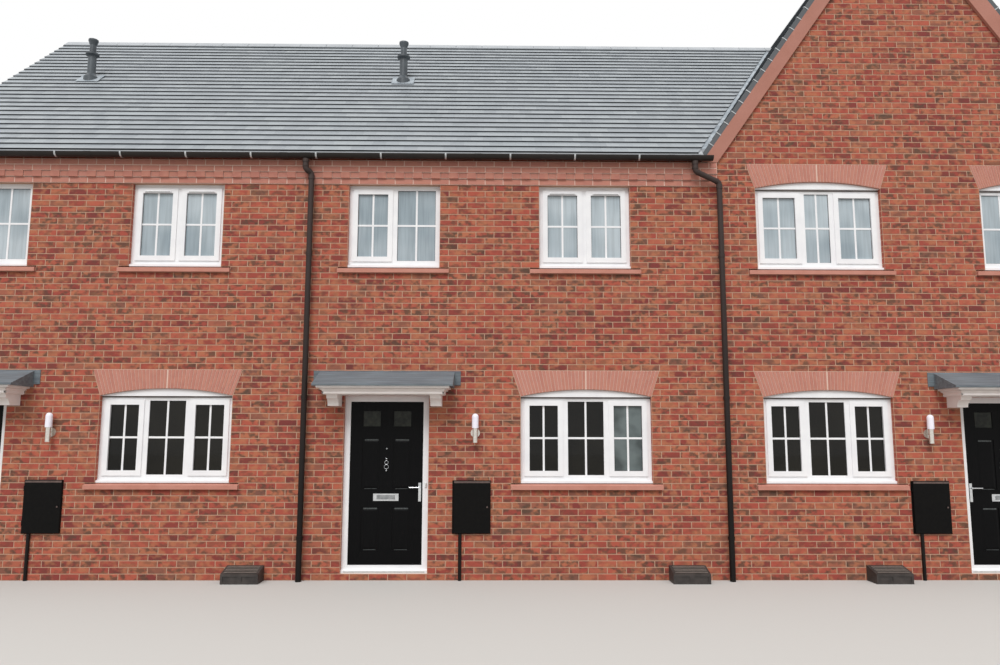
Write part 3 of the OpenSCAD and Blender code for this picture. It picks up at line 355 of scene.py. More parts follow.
# painted highlight on the lip of each meter door, also the colour of its lock
lipHighlightAndLock = plasticFinish("lipHighlightAndLock", (84, 70, 66), (100, 84, 79), 0.5, 0.2, scale=30.0, sheen=0.3)
housingGrey = plasticFinish("housingGrey", (44, 39, 37), (62, 56, 53), 0.6, 0.4, 0.0, 12.0, 0.002)
housingRib = plasticFinish("housingRib", (112, 104, 97), (132, 123, 115), 0.6, 0.2, scale=30.0)
doorSkin = doorFinish()
# painted highlights on the bevels of the door panels
doorBevelHighlight = plasticFinish("paintedBevelHighlight", (56, 59, 59), (84, 88, 88), 0.4, 0.2, scale=60.0, sheen=0.2)
doorGlass = plasticFinish("obscuredGlass", (24, 26, 22), (44, 47, 40), 0.2, 0.6, 0.0, 14.0, 0.002, 0.2)
sealedUnit = glassFinish()
board = boardFinish()

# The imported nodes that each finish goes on
wearers = [
    (screed, ["ground_floor"]), (board, ["first_floor"]), (blockwork, ["party_walls"]),
    (reveal, ["front_wall_ground", "front_wall_upper", "rear_wall_ground", "rear_wall_upper", "gable_walls",
              "walls_at_doors", "meter_piers"]),
    (rubbed, ["window_arches", "eaves_corbels"]), (castStone, ["window_sills"]),
    (bandRender, ["raking_bands"]), (ridgeClay, ["main_roof", "gable_roof", "ridge_tiles"]),
    (lead, ["valley_leads"]), (greyVent, ["roof_vents"]), (rainware, ["gutters"]),
    (galvanised, ["gutter_straps"]), (pipework, ["downpipes", "meter_conduits"]),
    (whiteFrame, ["window_frames", "casements", "door_frames"]), (sealedUnit, ["window_glass"]),
    (satin, ["door_hinges", "wall_light_holders"]),
    (doorSkin, ["rear_doors"] + [house + "_door" for house in houses]),
    (chrome, [house + "_door_fittings" for house in houses]), (canopyLead, ["canopy_roofs"]),
    (moulding, ["canopy_cornices", "canopy_brackets"]), (opal, ["wall_light_shades"]),
    (cabinetBlack, ["meter_cabinets"] + [house + "_meter_door" for house in houses]),
    (housingGrey, ["gas_housings"]),
]
for finish, names in wearers:
    for name in names:
        mesh = nodes[name].data
        mesh.materials.clear()
        mesh.materials.append(finish)
print("finishes:", sum(len(names) for finish, names in wearers))


# Shared steps for new pieces
def finishPiece(name, bm, finish, body="building"):
    mesh = bpy.data.meshes.new(name)
    bm.to_mesh(mesh)
    bm.free()
    mesh.materials.append(finish)
    piece = bpy.data.objects.new(name, mesh)
    scene.collection.objects.link(piece)
    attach(piece, body)


def join(bm, part):  # adds another drawing to this one
    spare = bpy.data.meshes.new("spare")
    part.to_mesh(spare)
    bm.from_mesh(spare)
    part.free()
    bpy.data.meshes.remove(spare)


def outward(bm):
    bmesh.ops.recalc_face_normals(bm, faces=bm.faces)


def placing(first, second, third, origin):  # turns x, y and z to three directions and moves the origin
    return Matrix(((*first, 0), (*second, 0), (*third, 0), (*origin, 1))).transposed()


def mirrorRear(bm):  # from the front of the row to its rear
    bmesh.ops.transform(bm, matrix=Matrix.Scale(-1, 4, (0, 1, 0)), verts=bm.verts)
    bmesh.ops.reverse_faces(bm, faces=bm.faces)


def newLayers(bm, seed, *names):  # number layers that finishes read, and the start of the random draws
    random.seed(seed)
    return [bm.faces.layers.float.new(name) for name in names]


def once(items):  # each item once, in the order in which they come, so that every run is the same
    return list(dict.fromkeys(items))


def strip(bm, joints, low, high):  # one row of faces between the joints, in x and y
    count = len(joints) - 1
    made = bmesh.ops.create_grid(bm, x_segments=count, y_segments=1, size=0.5)["verts"]
    for vert in made:
        vert.co = Vector((joints[round((vert.co.x + 0.5) * count)], high if vert.co.y > 0 else low, 0))
    return once(face for vert in made for face in vert.link_faces)


def cornersOf(faces):
    return once(vert for face in faces for vert in face.verts)


def only(made, kind):  # one kind out of what an extrusion makes
    return [item for item in made if isinstance(item, kind)]


def inset(bm, faces, thickness, depth=0.0, even=True):  # gives back the rings round the faces
    made = bmesh.ops.inset_individual(bm, faces=faces, thickness=thickness, depth=depth, use_even_offset=even)
    return made["faces"]


def addBox(bm, low, high, bevel=0.0, segments=1):
    made = bmesh.ops.create_cube(bm, size=1.0)["verts"]
    size, middle = Vector(high) - Vector(low), (Vector(high) + Vector(low)) / 2
    for vert in made:
        vert.co = Vector([vert.co[i] * size[i] + middle[i] for i in range(3)])
    if bevel:
        edges = once(edge for vert in made for edge in vert.link_edges)
        bmesh.ops.bevel(bm, geom=edges, offset=bevel, segments=segments, affect="EDGES", profile=0.5,
                        material=-1)


def addDisc(bm, spot, wide, narrow, depth, segments=24):  # a round plate that faces forwards
    made = bmesh.ops.create_cone(bm, segments=segments, radius1=wide, radius2=narrow, depth=depth,
                                 cap_ends=True)["verts"]
    bmesh.ops.rotate(bm, verts=made, cent=(0, 0, 0), matrix=Matrix.Rotation(math.pi / 2, 3, "X"))
    bmesh.ops.translate(bm, verts=made, vec=spot)


def cut(bm, faces, spot, normal, clear=False):  # bisects some faces, and may delete what the normal points at
    parts = once(item for face in faces for item in (face, *face.edges, *face.verts))
    bmesh.ops.bisect_plane(bm, geom=parts, dist=0.00001, plane_co=spot, plane_no=normal, clear_outer=clear)


def saw(bm, spot, normal):  # cuts a closed solid and closes it again
    cut(bm, bm.faces, spot, normal, True)
    bmesh.ops.holes_fill(bm, edges=[edge for edge in bm.edges if edge.is_boundary])


def facesWhere(bm, test):  # faces whose middle passes a test on x and y
    found = []
    for face in bm.faces:
        middle = face.calc_center_median()
        if test(middle.x, middle.y):
            found.append(face)
    return found


def remove(bm, faces):
    bmesh.ops.delete(bm, geom=faces, context="FACES")


# Openings as the sills, arches and door frames give them
opening = {"sillExt": 0.118, "offMiddle": 0.05, "tallest": 1.5, "overDoor": 0.01, "underArch": 0.015}


def windowsOf(side):  # middle, half width, bottom, head, and the box of the arch or None
    found = []
    arches = looseBoxes("window_arches", side)
    for low, high in looseBoxes("window_sills", side):
        middle, half = (low.x + high.x) / 2, (high.x - low.x) / 2 - opening["sillExt"]
        over = [box for box in arches if abs((box[0].x + box[1].x) / 2 - middle) < opening["offMiddle"]
                and 0 < box[0].z - high.z < opening["tallest"]]
        found.append((middle, half, high.z, over[0][0].z if over else corbelZ, over[0] if over else None))
    return found


def wallHoles(side):  # left, right, bottom and top of what bricks leave free
    holes = [(low.x, high.x, low.z, high.z + opening["overDoor"])
             for low, high in looseBoxes("door_frames", side)]
    for middle, half, bottom, head, arch in windowsOf(side):
        holes.append((middle - half, middle + half, bottom, head + opening["underArch"] if arch else head))
        holes.append((middle - half - opening["sillExt"], middle + half + opening["sillExt"],
                      bottom - bond["course"], bottom))
    return holes


def courseJoints(row, low, high, phase):
    start = phase + (0 if row % 2 else bond["length"] / 2)
    first = math.floor((low - start) / bond["length"])
    every = [start + bond["length"] * n for n in range(first, first + int((high - low) / bond["length"]) + 3)]
    return [x for x in every if low + bond["smallest"] < x < high - bond["smallest"]]


def layWall(bm, low, high, rows, phase, holes):
    for row in rows:
        bottom, top = row * bond["course"], (row + 1) * bond["course"]
        here = [hole for hole in holes if hole[2] < bottom + bond["lap"] and hole[3] > top - bond["lap"]]
        edges = sorted({low, high} | {x for hole in here for x in hole[:2] if low < x < high})
        joints = [edges[0]]
        for start, end in zip(edges, edges[1:]):
            joints += courseJoints(row, start, end, phase) + [end]
        faces = strip(bm, joints, bottom, top)
        remove(bm, [face for face in faces
                    if any(hole[0] < face.calc_center_median().x < hole[1] for hole in here)])


def bedBricks(bm, seed):  # mortar rings, then each brick raised with its arris
    remove(bm, [face for face in bm.faces if face.calc_area() < bond["leastArea"]])
    tint, mortar = newLayers(bm, seed, "tint", "mortar")
    for face in bm.faces:
        face[tint] = random.random()
    bricks = list(bm.faces)
    for face in inset(bm, bricks, bond["joint"]):
        face[mortar] = 1
    inset(bm, bricks, bond["arris"], bond["rise"])


def standUp(bm, side):  # from x and y to the front wall, or mirrored to the rear
    bm.transform(placing((1, 0, 0), (0, 0, 1), (0, -1, 0), (0, -wallY - bond["bed"], 0)))
    if side > 0:
        mirrorRear(bm)


# Slanting joints beside each arch
spring = {"beside": 0.2, "below": 0.08}


def cutSprings(bm, side):
    for middle, half, bottom, head, arch in windowsOf(side):
        if not arch:
            continue
        foot, top, reach = arch[0].z, arch[1].z, (arch[1].x - arch[0].x) / 2
        lean = (reach - half) / (top - foot)
        for way in (-1, 1):
            near = facesWhere(bm, lambda x, y: abs(x - middle) < reach + spring["beside"]
                              and foot - spring["below"] < y < top)
            cut(bm, near, Vector((middle + way * half, head, 0)), Vector((way, -lean, 0)).normalized())
        remove(bm, facesWhere(bm, lambda x, y: head < y < top and abs(x - middle) < half + lean * (y - head)))


# The meter cabinets stand in holes in the wall, which the bricks leave open inside the flange
cabinet = {"hingeRim": 0.024, "rim": 0.010, "margin": 0.03}


def openCabinets(bm):
    for low, high in looseBoxes("meter_cabinets"):
        x0, x1 = low.x + cabinet["hingeRim"], high.x - cabinet["rim"]
        foot, top = low.z + cabinet["rim"], high.z - cabinet["rim"]
        for edge in (x0, x1):
            beside = facesWhere(bm, lambda x, y: abs(x - edge) < bond["length"]
                                and foot - cabinet["margin"] < y < top + cabinet["margin"])
            cut(bm, beside, (edge, 0, 0), (1, 0, 0))
        for edge in (foot, top):
            between = facesWhere(bm, lambda x, y: x0 < x < x1 and abs(y - edge) < bond["course"])
            cut(bm, between, (0, edge, 0), (0, 1, 0))
        remove(bm, facesWhere(bm, lambda x, y: x0 < x < x1 and foot < y < top))


def brickFront(name, side, seed):
    bm = bmesh.new()
    holes = wallHoles(side)
    low, high = round(corbelZ / bond["course"]), round(corbelTop / bond["course"])
    peak = math.ceil(gableRidgeZ / bond["course"])
    end = rightX + bond["bed"] + bond["rise"]
    layWall(bm, leftX - bond["bed"] - bond["rise"], bond["change"], range(low), bond["phase"], holes)
    layWall(bm, bond["change"], end, range(low), bond["gablePhase"], holes)
    layWall(bm, corbelEnd, end, range(low, high), bond["gablePhase"], holes)
    layWall(bm, gableFoot, end, range(high, peak), bond["gablePhase"], holes)
    cutSprings(bm, side)
    if side < 0:
        openCabinets(bm)
    for way in (-1, 1):  # raking cuts under the verge
        normal = (way * math.sin(roof["gablePitch"]), math.cos(roof["gablePitch"]), 0)
        upper = facesWhere(bm, lambda x, y: y > corbelTop)
        cut(bm, upper, (gableMid, gableRidgeZ - gableUnder - bond["behindBand"], 0), normal, True)
    bedBricks(bm, seed)
    standUp(bm, side)
    finishPiece(name, bm, facing)


# Plain end walls, drawn along the depth of the row
endWall = {"phase": 0.05, "intoRoof": 0.07, "intoGable": 0.10}


def brickEnd(name, way, seed):
    bm = bmesh.new()
    top = ridgeZ if way < 0 else roof["gableFaceZ"]
    reach = wallY + bond["bed"] + bond["rise"]
    layWall(bm, -reach, reach, range(math.ceil(top / bond["course"])), endWall["phase"], [])
    if way < 0:
        drop = roof["thick"] / math.cos(roof["pitch"]) - endWall["intoRoof"]
        for lean in (-1, 1):
            normal = (lean * math.sin(roof["pitch"]), math.cos(roof["pitch"]), 0)
            cut(bm, bm.faces, (0, top - drop, 0), normal, True)
    else:
        drop = roof["thick"] / math.cos(roof["gablePitch"]) - endWall["intoGable"]
        cut(bm, bm.faces, (0, top - drop, 0), (0, 1, 0), True)
    bedBricks(bm, seed)
    edge = leftX if way < 0 else rightX
    bm.transform(placing((0, way, 0), (0, 0, 1), (way, 0, 0), (edge + way * bond["bed"], 0, 0)))
    finishPiece(name, bm, facing)


brickFront("frontBricks", -1, 11)
brickFront("rearBricks", 1, 12)
brickEnd("leftEndBricks", -1, 13)
brickEnd("rightEndBricks", 1, 14)
print("brickwork laid")


# Flat arches of narrow rubbed bricks, with a key joint in the middle
fan = {"bricks": 40, "key": 0.007, "keyArea": 0.004, "rise": 0.085, "joint": 0.0028, "arris": 0.001,
       "face": 0.005, "passes": 8}


def archCircle(half, head):  # centre height and radius of the curve under an arch
    radius = (half ** 2 + fan["rise"] ** 2) / (2 * fan["rise"])
    return head + fan["rise"] - radius, radius


def archFan(bm, middle, half, head, arch):
    reach, top = (arch[1].x - arch[0].x) / 2, arch[1].z
    meet = head - half * (top - head) / (reach - half)  # where the joints would meet
    centre, radius = archCircle(half, head)
    tops = [-reach + 2 * reach * i / fan["bricks"] for i in range(fan["bricks"] + 1)]
    mid = fan["bricks"] // 2
    tops[mid:mid + 1] = [-fan["key"], fan["key"]]
    for vert in cornersOf(strip(bm, tops, 0.0, 1.0)):
        x, z = vert.co.x, top
        if vert.co.y < 0.5:
            z = head + fan["rise"]
            for _ in range(fan["passes"]):
                z = centre + math.sqrt(radius ** 2 - (vert.co.x * (z - meet) / (top - meet)) ** 2)
            x = vert.co.x * (z - meet) / (top - meet)
        vert.co = Vector((x + middle, z, 0))


def archPiece(name, side, seed):
    bm = bmesh.new()
    for middle, half, bottom, head, arch in windowsOf(side):
        if arch:
            archFan(bm, middle, half, head, arch)
    tint, mortar = newLayers(bm, seed, "tint", "mortar")
    for face in bm.faces:
        face[tint] = random.random()
        face[mortar] = 1 if face.calc_area() < fan["keyArea"] else 0
    bricks = [face for face in bm.faces if not face[mortar]]
    for face in inset(bm, bricks, fan["joint"]):
        face[mortar] = 1
    inset(bm, bricks, fan["arris"], fan["face"])
    standUp(bm, side)
    finishPiece(name, bm, rubbed)


archPiece("frontArchBricks", -1, 21)
archPiece("rearArchBricks", 1, 22)


# Corbel courses under the eaves: a stretcher course, headers in and out, then two more
corbel = {"steps": [0.014, 0.027, 0.042, 0.042], "headers": 1, "dentil": 0.009, "header": 0.1125,
          "sides": 0.3}


def headerJoints():
    first = math.ceil((leftX - bond["phase"]) / corbel["header"])
    last = math.floor((corbelEnd - bond["phase"]) / corbel["header"])
    return [bond["phase"] + corbel["header"] * n for n in range(first, last + 1)]


def standsOut(face):  # every second header stands out with the courses above
    return round((face.calc_center_median().x - bond["phase"]) / corbel["header"] - 0.5) % 2


def corbelPiece(name, side, seed):
    bm = bmesh.new()
    tint, mortar = newLayers(bm, seed, "tint", "mortar")
    for index, out in enumerate(corbel["steps"]):
        row = round(corbelZ / bond["course"]) + index
        headers = index == corbel["headers"]
        inner = headerJoints() if headers else courseJoints(row, leftX, corbelEnd, bond["phase"])
        faces = strip(bm, [leftX] + inner + [corbelEnd], row * bond["course"], (row + 1) * bond["course"])
        for face in faces:
            face[tint] = random.random()
        rings = inset(bm, faces, bond["joint"])
        for face in rings:
            face[mortar] = 1
        bmesh.ops.translate(bm, vec=(0, 0, out), verts=cornersOf(faces + rings))
        outer = [face for face in faces if headers and standsOut(face)]
        if outer:
            for face in inset(bm, outer, 0.0, bond["rise"] + corbel["dentil"], False):
                face[tint] = corbel["sides"]
        inset(bm, [face for face in faces if face not in outer], bond["arris"], bond["rise"])
    standUp(bm, side)
    finishPiece(name, bm, rubbed)


corbelPiece("frontCorbelBricks", -1, 31)
corbelPiece("rearCorbelBricks", 1, 32)
print("arches and corbels laid")


# Plain tiles in half bond
tiling = {"gauge": 0.1725, "width": 0.165, "smallest": 0.03, "thick": 0.017, "lift": 0.003, "gap": 0.0016,
          "gapPaintedShade": 0.28, "near": 0.001, "valley": 0.055, "gableValley": 0.033, "pastVerge": 0.012}


def layTiles(bm, low, high, length):  # x runs along the eaves and y up the slope, both in the slope's plane
    tint, shade = bm.faces.layers.float["tint"], bm.faces.layers.float["shade"]
    for row in range(math.ceil(length / tiling["gauge"])):
        start = row * tiling["gauge"]
        offset = tiling["width"] / 2 if row % 2 else 0
        amount = int((high - low) / tiling["width"]) + 2
        inner = [low + offset + tiling["width"] * n for n in range(amount)]
        inner = [x for x in inner if low + tiling["smallest"] < x < high - tiling["smallest"]]
        faces = strip(bm, [low] + inner + [high], start, min(start + tiling["gauge"], length))
        for vert in cornersOf(faces):
            vert.co.z = tiling["lift"] + (tiling["thick"] if vert.co.y < start + tiling["near"] else 0)
        for face in faces:
            face[tint] = random.random()
        fronts = [edge for edge in once(edge for face in faces for edge in face.edges)
                  if all(vert.co.y < start + tiling["near"] for vert in edge.verts)]
        made = bmesh.ops.extrude_edge_only(bm, edges=fronts)["geom"]
        down = (0, 0, -tiling["thick"] - tiling["lift"])
        bmesh.ops.translate(bm, vec=down, verts=only(made, bmesh.types.BMVert))
        # the front edges of the tiles take full painted shade
        for face in only(made, bmesh.types.BMFace):
            face.normal_update()
            if face.normal.y > 0:
                face.normal_flip()
            face[shade] = 1
        # the gaps between tiles take a lighter painted shade
        for face in inset(bm, faces, tiling["gap"], even=False):
            face[shade] = tiling["gapPaintedShade"]


def valleyPlane(side, away):  # upright plane through a valley; away moves it off the valley line
    foot, head = (Vector((gableX + (z - roof["gableFaceZ"]) / math.tan(roof["gablePitch"]), y, 0))
                  for z, y in ((roof["faceZ"], side * wallY), (ridgeZ, 0)))
    line = (head - foot).normalized()
    normal = Vector((line.y * -side, line.x * side, 0))
    normal = normal if normal.x > 0 else -normal
    return foot + normal * away, normal


def gableSlope(way):  # foot, length and directions; way is -1 for the slope towards the long roof
    lean = roof["gablePitch"]
    foot = gableStart if way < 0 else rightX
    run = abs(gableMid - foot)
    return {"x": foot, "z": gableRidgeZ - run * math.tan(lean), "length": run / math.cos(lean),
            "up": (-way * math.cos(lean), 0, math.sin(lean)),
            "out": (way * math.sin(lean), 0, math.cos(lean))}


def mainTiles(name, side, seed):
    bm = bmesh.new()
    newLayers(bm, seed, "tint", "shade")
    layTiles(bm, leftX, gableMid, (wallY + roof["eavesOut"]) / math.cos(roof["pitch"]))
    foot = roof["faceZ"] - roof["eavesOut"] * math.tan(roof["pitch"])
    bm.transform(placing((1, 0, 0), slopeUp, slopeOut, (0, -wallY - roof["eavesOut"], foot)))
    if side > 0:
        mirrorRear(bm)
    spot, normal = valleyPlane(side, -tiling["valley"])
    cut(bm, bm.faces, spot, normal, True)
    finishPiece(name, bm, slate)


def gableTiles(name, way, seed):
    bm = bmesh.new()
    newLayers(bm, seed, "tint", "shade")
    slope = gableSlope(way)
    reach = wallY + roof["vergeOut"] + tiling["pastVerge"]
    layTiles(bm, -reach, reach, slope["length"])
    bm.transform(placing((0, way, 0), slope["up"], slope["out"], (slope["x"], 0, slope["z"])))
    if way < 0:  # the front half and the rear half stop at their own valleys
        other = bm.copy()
        for part, side in ((bm, -1), (other, 1)):
            cut(part, part.faces, (0, 0, 0), (0, -side, 0), True)
            spot, normal = valleyPlane(side, tiling["gableValley"])
            cut(part, part.faces, spot, -normal, True)
        join(bm, other)
    finishPiece(name, bm, slate)


mainTiles("frontTiles", -1, 41)
mainTiles("rearTiles", 1, 42)
gableTiles("leftGableTiles", -1, 43)
gableTiles("rightGableTiles", 1, 44)
print("tiles laid")


# Verge: tile ends bedded in mortar and darkened with painted shade, with a light clip at each course; sizes
# up, along and out of the slope
verge = {"endDeep": 0.048, "uneven": 0.004, "endUp": 0.016, "endGaps": (0.004, 0.002), "proud": 0.014,
         "endRound": 0.003, "clip": 0.012, "clipDeep": 0.046, "clipUp": 0.024, "clipProud": 0.018,
         "clipRound": 0.002, "shade": 0.8, "seed": 51}


def vergePiece(name, clips):
    bm = bmesh.new()
    for side in (-1, 1):
        for way in (-1, 1):
            slope = gableSlope(way)
            origin = (slope["x"], side * (wallY + roof["vergeOut"]), slope["z"])
            for row in range(int(slope["length"] / tiling["gauge"])):
                part = bmesh.new()
                start = row * tiling["gauge"]
                if clips:
                    addBox(part, (start, -verge["clipProud"], -verge["clipDeep"]),
                           (start + verge["clip"], verge["clipProud"], verge["clipUp"]), verge["clipRound"])
                else:
                    before, after = verge["endGaps"]
                    deep = verge["endDeep"] + verge["uneven"] * (row % 2)
                    addBox(part, (start + before, -verge["proud"], -deep),
                           (start + tiling["gauge"] - after, verge["proud"], verge["endUp"]),
                           verge["endRound"])
                part.transform(placing(slope["up"], (0, 1, 0), slope["out"], origin))
                outward(part)
                join(bm, part)
    tint, shade = newLayers(bm, verge["seed"], "tint", "shade")
    for face in bm.faces:
        face[tint] = random.random()
        # painted shade on the verge ends; the finish of the clips does not read it
        face[shade] = verge["shade"]
    finishPiece(name, bm, galvanised if clips else slate)


vergePiece("vergeEnds", False)
vergePiece("vergeClips", True)


# Smooth render that slants from the edge of the roof to the foot of the band on the wall
raking = {"from": 0.042, "to": 0.2035, "reach": 0.092, "back": 0.0475, "spare": 0.4}


def rakePiece(name):
    bm = bmesh.new()
    slant = Vector((0, raking["to"] - raking["from"], raking["back"] - raking["reach"])).normalized()
    for side in (-1, 1):
        for way in (-1, 1):
            part = bmesh.new()
            slope = gableSlope(way)
            addBox(part, (-raking["spare"], 0.0, -raking["to"]),
                   (slope["length"] + raking["spare"], raking["reach"], -raking["from"]))
            saw(part, (0, raking["reach"], -raking["from"]), slant)
            origin = (slope["x"], side * wallY, slope["z"])
            part.transform(placing(slope["up"], (0, side, 0), slope["out"], origin))
            saw(part, (gableMid, 0, 0), (-way, 0, 0))
            saw(part, (rightX, 0, 0), (1, 0, 0))
            saw(part, (0, 0, corbelTop), (0, 0, -1))
            outward(part)
            join(bm, part)
    finishPiece(name, bm, bandRender)


rakePiece("rakingRender")
print("verges done")


# Window bars and gaskets lie on the panes; the upright bar laps the level one
glazing = {"bar": 0.024, "barProud": 0.004, "over": 0.0012, "arris": 0.0015,
           "gasket": 0.005, "gasketProud": 0.002, "sunk": 0.001}


def panesOf(side, proud):  # corners of every pane, and the depths between which a thing lies on it
    for low, high in looseBoxes("window_glass", side):
        face = low.y if side < 0 else high.y
        yield low, high, *sorted((face - side * glazing["sunk"], face + side * proud))


def barPiece(name, side):
    bm = bmesh.new()
    half, over = glazing["bar"] / 2, side * glazing["over"]
    for low, high, y0, y1 in panesOf(side, glazing["barProud"]):
        x, z = (low.x + high.x) / 2, (low.z + high.z) / 2
        addBox(bm, (x - half, y0 + min(over, 0), low.z), (x + half, y1 + max(over, 0), high.z),
               glazing["arris"])
        addBox(bm, (low.x, y0, z - half), (high.x, y1, z + half), glazing["arris"])
    outward(bm)
    finishPiece(name, bm, whiteFrame)


def gasketPiece(name, side):
    bm = bmesh.new()
    wide = glazing["gasket"]
    for low, high, y0, y1 in panesOf(side, glazing["gasketProud"]):
        addBox(bm, (low.x, y0, low.z), (low.x + wide, y1, high.z))
        addBox(bm, (high.x - wide, y0, low.z), (high.x, y1, high.z))
        addBox(bm, (low.x, y0, low.z), (high.x, y1, low.z + wide))
        addBox(bm, (low.x, y0, high.z - wide), (high.x, y1, high.z))
    outward(bm)
    finishPiece(name, bm, gasket)


# A board fills the curve under each arch, over a grey strip of painted shadow on the frame below it
heading = {"back": 0.060, "thick": 0.036, "clear": 0.002, "lap": 0.004, "gapLow": 0.022, "gapProud": 0.003,
           "steps": 24}


def headPieces(side):
    boards, gapShadows = bmesh.new(), bmesh.new()
    face = side * (wallY - heading["back"])
    y0, y1 = sorted((face, face + side * heading["gapProud"]))
    for middle, half, bottom, head, arch in windowsOf(side):
        if not arch:
            continue
        foot = head - heading["lap"]
        addBox(gapShadows, (middle - half, y0, head - heading["gapLow"]), (middle + half, y1, foot))
        centre, radius = archCircle(half, head)
        joints = [-half + 2 * half * i / heading["steps"] for i in range(heading["steps"] + 1)]
        faces = strip(boards, joints, 0.0, 1.0)
        for vert in cornersOf(faces):
            top = centre + math.sqrt(radius ** 2 - vert.co.x ** 2) - heading["clear"]
            vert.co = Vector((vert.co.x + middle, face, max(top, head) if vert.co.y > 0.5 else foot))
        made = bmesh.ops.extrude_face_region(boards, geom=faces)["geom"]
        forward = (0, side * heading["thick"], 0)
        bmesh.ops.translate(boards, vec=forward, verts=only(made, bmesh.types.BMVert))
    outward(boards)
    outward(gapShadows)
    place = "front" if side < 0 else "rear"
    finishPiece(place + "HeadBoards", boards, whiteFrame)
    finishPiece(place + "HeadGapShadows", gapShadows, paintedGapShadow)


barPiece("frontBars", -1)
barPiece("rearBars", 1)
gasketPiece("frontGaskets", -1)
gasketPiece("rearGaskets", 1)
headPieces(-1)
headPieces(1)
print("window parts done")


# Trickle vents over the right upper window of each plain house, with black strips of painted shade in their
# slots
trickle = {"place": 3.47, "within": 0.6, "below": 0.3, "frameBack": 0.046, "length": 0.33,
           "low": 4.700, "high": 4.722, "out": 0.014, "round": 0.003,
           "slotIn": 0.01, "slotUp": 0.004, "slot": 0.004, "slotProud": 0.0005}


def tricklePieces():
    covers, slotShade = bmesh.new(), bmesh.new()
    face = -wallY + trickle["frameBack"]
    for low, high in looseBoxes("casements", -1):
        away = abs((low.x - leftX) % houseWide - trickle["place"])
        if high.z < corbelZ - trickle["below"] or low.x > gableStart or away > trickle["within"]:
            continue
        middle, half = (low.x + high.x) / 2, trickle["length"] / 2
        front, foot = face - trickle["out"], trickle["low"] + trickle["slotUp"]
        addBox(covers, (middle - half, front, trickle["low"]), (middle + half, face, trickle["high"]),
               trickle["round"], 2)
        half -= trickle["slotIn"]
        addBox(slotShade, (middle - half, front - trickle["slotProud"], foot),
               (middle + half, face - trickle["slotUp"], foot + trickle["slot"]))
    finishPiece("trickleVents", covers, whiteFrame)
    finishPiece("trickleSlotShade", slotShade, gasket)


tricklePieces()


# Lead: a flashing on the wall over each canopy, and a slate round the foot of each roof vent
flashing = {"half": 0.89, "low": 2.292, "high": 2.464, "out": 0.016, "round": 0.004}
slateLead = {"half": (0.17, 0.16), "over": (0.0205, 0.0235), "round": 0.001, "ventIn": 1.99}


def leadPieces():
    bm = bmesh.new()
    for low, high in looseBoxes("canopy_roofs"):
        middle = (low.x + high.x) / 2
        addBox(bm, (middle - flashing["half"], -wallY - flashing["out"], flashing["low"]),
               (middle + flashing["half"], -wallY, flashing["high"]), flashing["round"], 2)
    finishPiece("canopyFlashings", bm, canopyLead)
    bm = bmesh.new()
    wide, deep = slateLead["half"]
    under, over = slateLead["over"]
    height = roof["faceZ"] + slateLead["ventIn"] * math.tan(roof["pitch"])
    for low, high in looseBoxes("roof_vents"):
        part = bmesh.new()
        addBox(part, (-wide, -deep, under), (wide, deep, over), slateLead["round"])
        origin = ((low.x + high.x) / 2, -wallY + slateLead["ventIn"], height)
        part.transform(placing((1, 0, 0), slopeUp, slopeOut, origin))
        join(bm, part)
    finishPiece("ventSlates", bm, lead)


leadPieces()


# A bead round the foot of each canopy cornice and a fillet at its middle: low, high and set back
cornice = {"beads": [(0.006, 0.030, 0.060), (0.052, 0.059, 0.031)], "top": 0.095, "deep": 0.02,
           "round": 0.003}


def cornicePiece(name):
    bm = bmesh.new()
    deep = cornice["deep"]
    for low, high in looseBoxes("canopy_cornices"):
        foot = high.z - cornice["top"]
        for start, end, back in cornice["beads"]:
            x0, x1, y0 = low.x + back, high.x - back, low.y + back
            for one, two in (((x0, y0), (x1, y0 + deep)), ((x0, y0), (x0 + deep, -wallY)),
                             ((x1 - deep, y0), (x1, -wallY))):
                addBox(bm, (*one, foot + start), (*two, foot + end), cornice["round"], 2)
    finishPiece(name, bm, moulding)


cornicePiece("corniceBeads")
print("leadwork and mouldings done")


# Top lights of the doors and painted highlights on the bevels of their panels: low, high and half width in
# both columns
panel = {"across": 0.185,
         "lights": {"rows": [(1.797, 1.982, 0.104)], "back": (0.0035, 0.0065), "round": 0.0008},
         "edges": {"rows": [(1.626, 1.644, 0.082), (1.050, 1.057, 0.076), (0.811, 0.829, 0.082),
                            (0.335, 0.342, 0.076)], "back": (0.0004, 0.0062), "round": 0.0025}}


def panelPiece(name, kind, ending, finish):
    low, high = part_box(name + "_door")
    sizes = panel[kind]
    front, back = sizes["back"]
    bm = bmesh.new()
    for way in (-1, 1):
        x = (low.x + high.x) / 2 + way * panel["across"]
        for bottom, top, half in sizes["rows"]:
            addBox(bm, (x - half, low.y + front, bottom), (x + half, low.y + back, top), sizes["round"])
    finishPiece(name + ending, bm, finish, name + "_door")


# Knocker of two rings between two knobs, each with its height first, viewer, and flap of the letter plate
knocker = {"knobs": [(1.41, (0.015, 0.014, 0.014)), (1.269, (0.013, 0.015, 0.013))], "knobOut": 0.010,
           "rings": [(1.3655, 0.021), (1.3135, 0.026)], "ringOut": 0.012, "wire": 0.0048}
viewer = {"height": 1.53, "out": 0.004, "wide": 0.011, "narrow": 0.009, "depth": 0.008}
flap = {"half": 0.11, "low": 0.928, "high": 0.979, "out": (0.0105, 0.008), "round": 0.001}


def addKnob(bm, middle, size):
    ball = bmesh.ops.create_uvsphere(bm, u_segments=20, v_segments=12, radius=1.0)["verts"]
    for vert in ball:
        vert.co = Vector([vert.co[i] * size[i] + middle[i] for i in range(3)])


def addRing(bm, middle, radius):
    wire = bmesh.ops.create_circle(bm, segments=10, radius=knocker["wire"])["verts"]
    bmesh.ops.translate(bm, vec=(middle[0] + radius, *middle[1:]), verts=wire)
    edges = once(edge for vert in wire for edge in vert.link_edges)
    bmesh.ops.spin(bm, geom=wire + edges, cent=middle, axis=(0, 1, 0), angle=math.tau, steps=32,
                   use_merge=True)


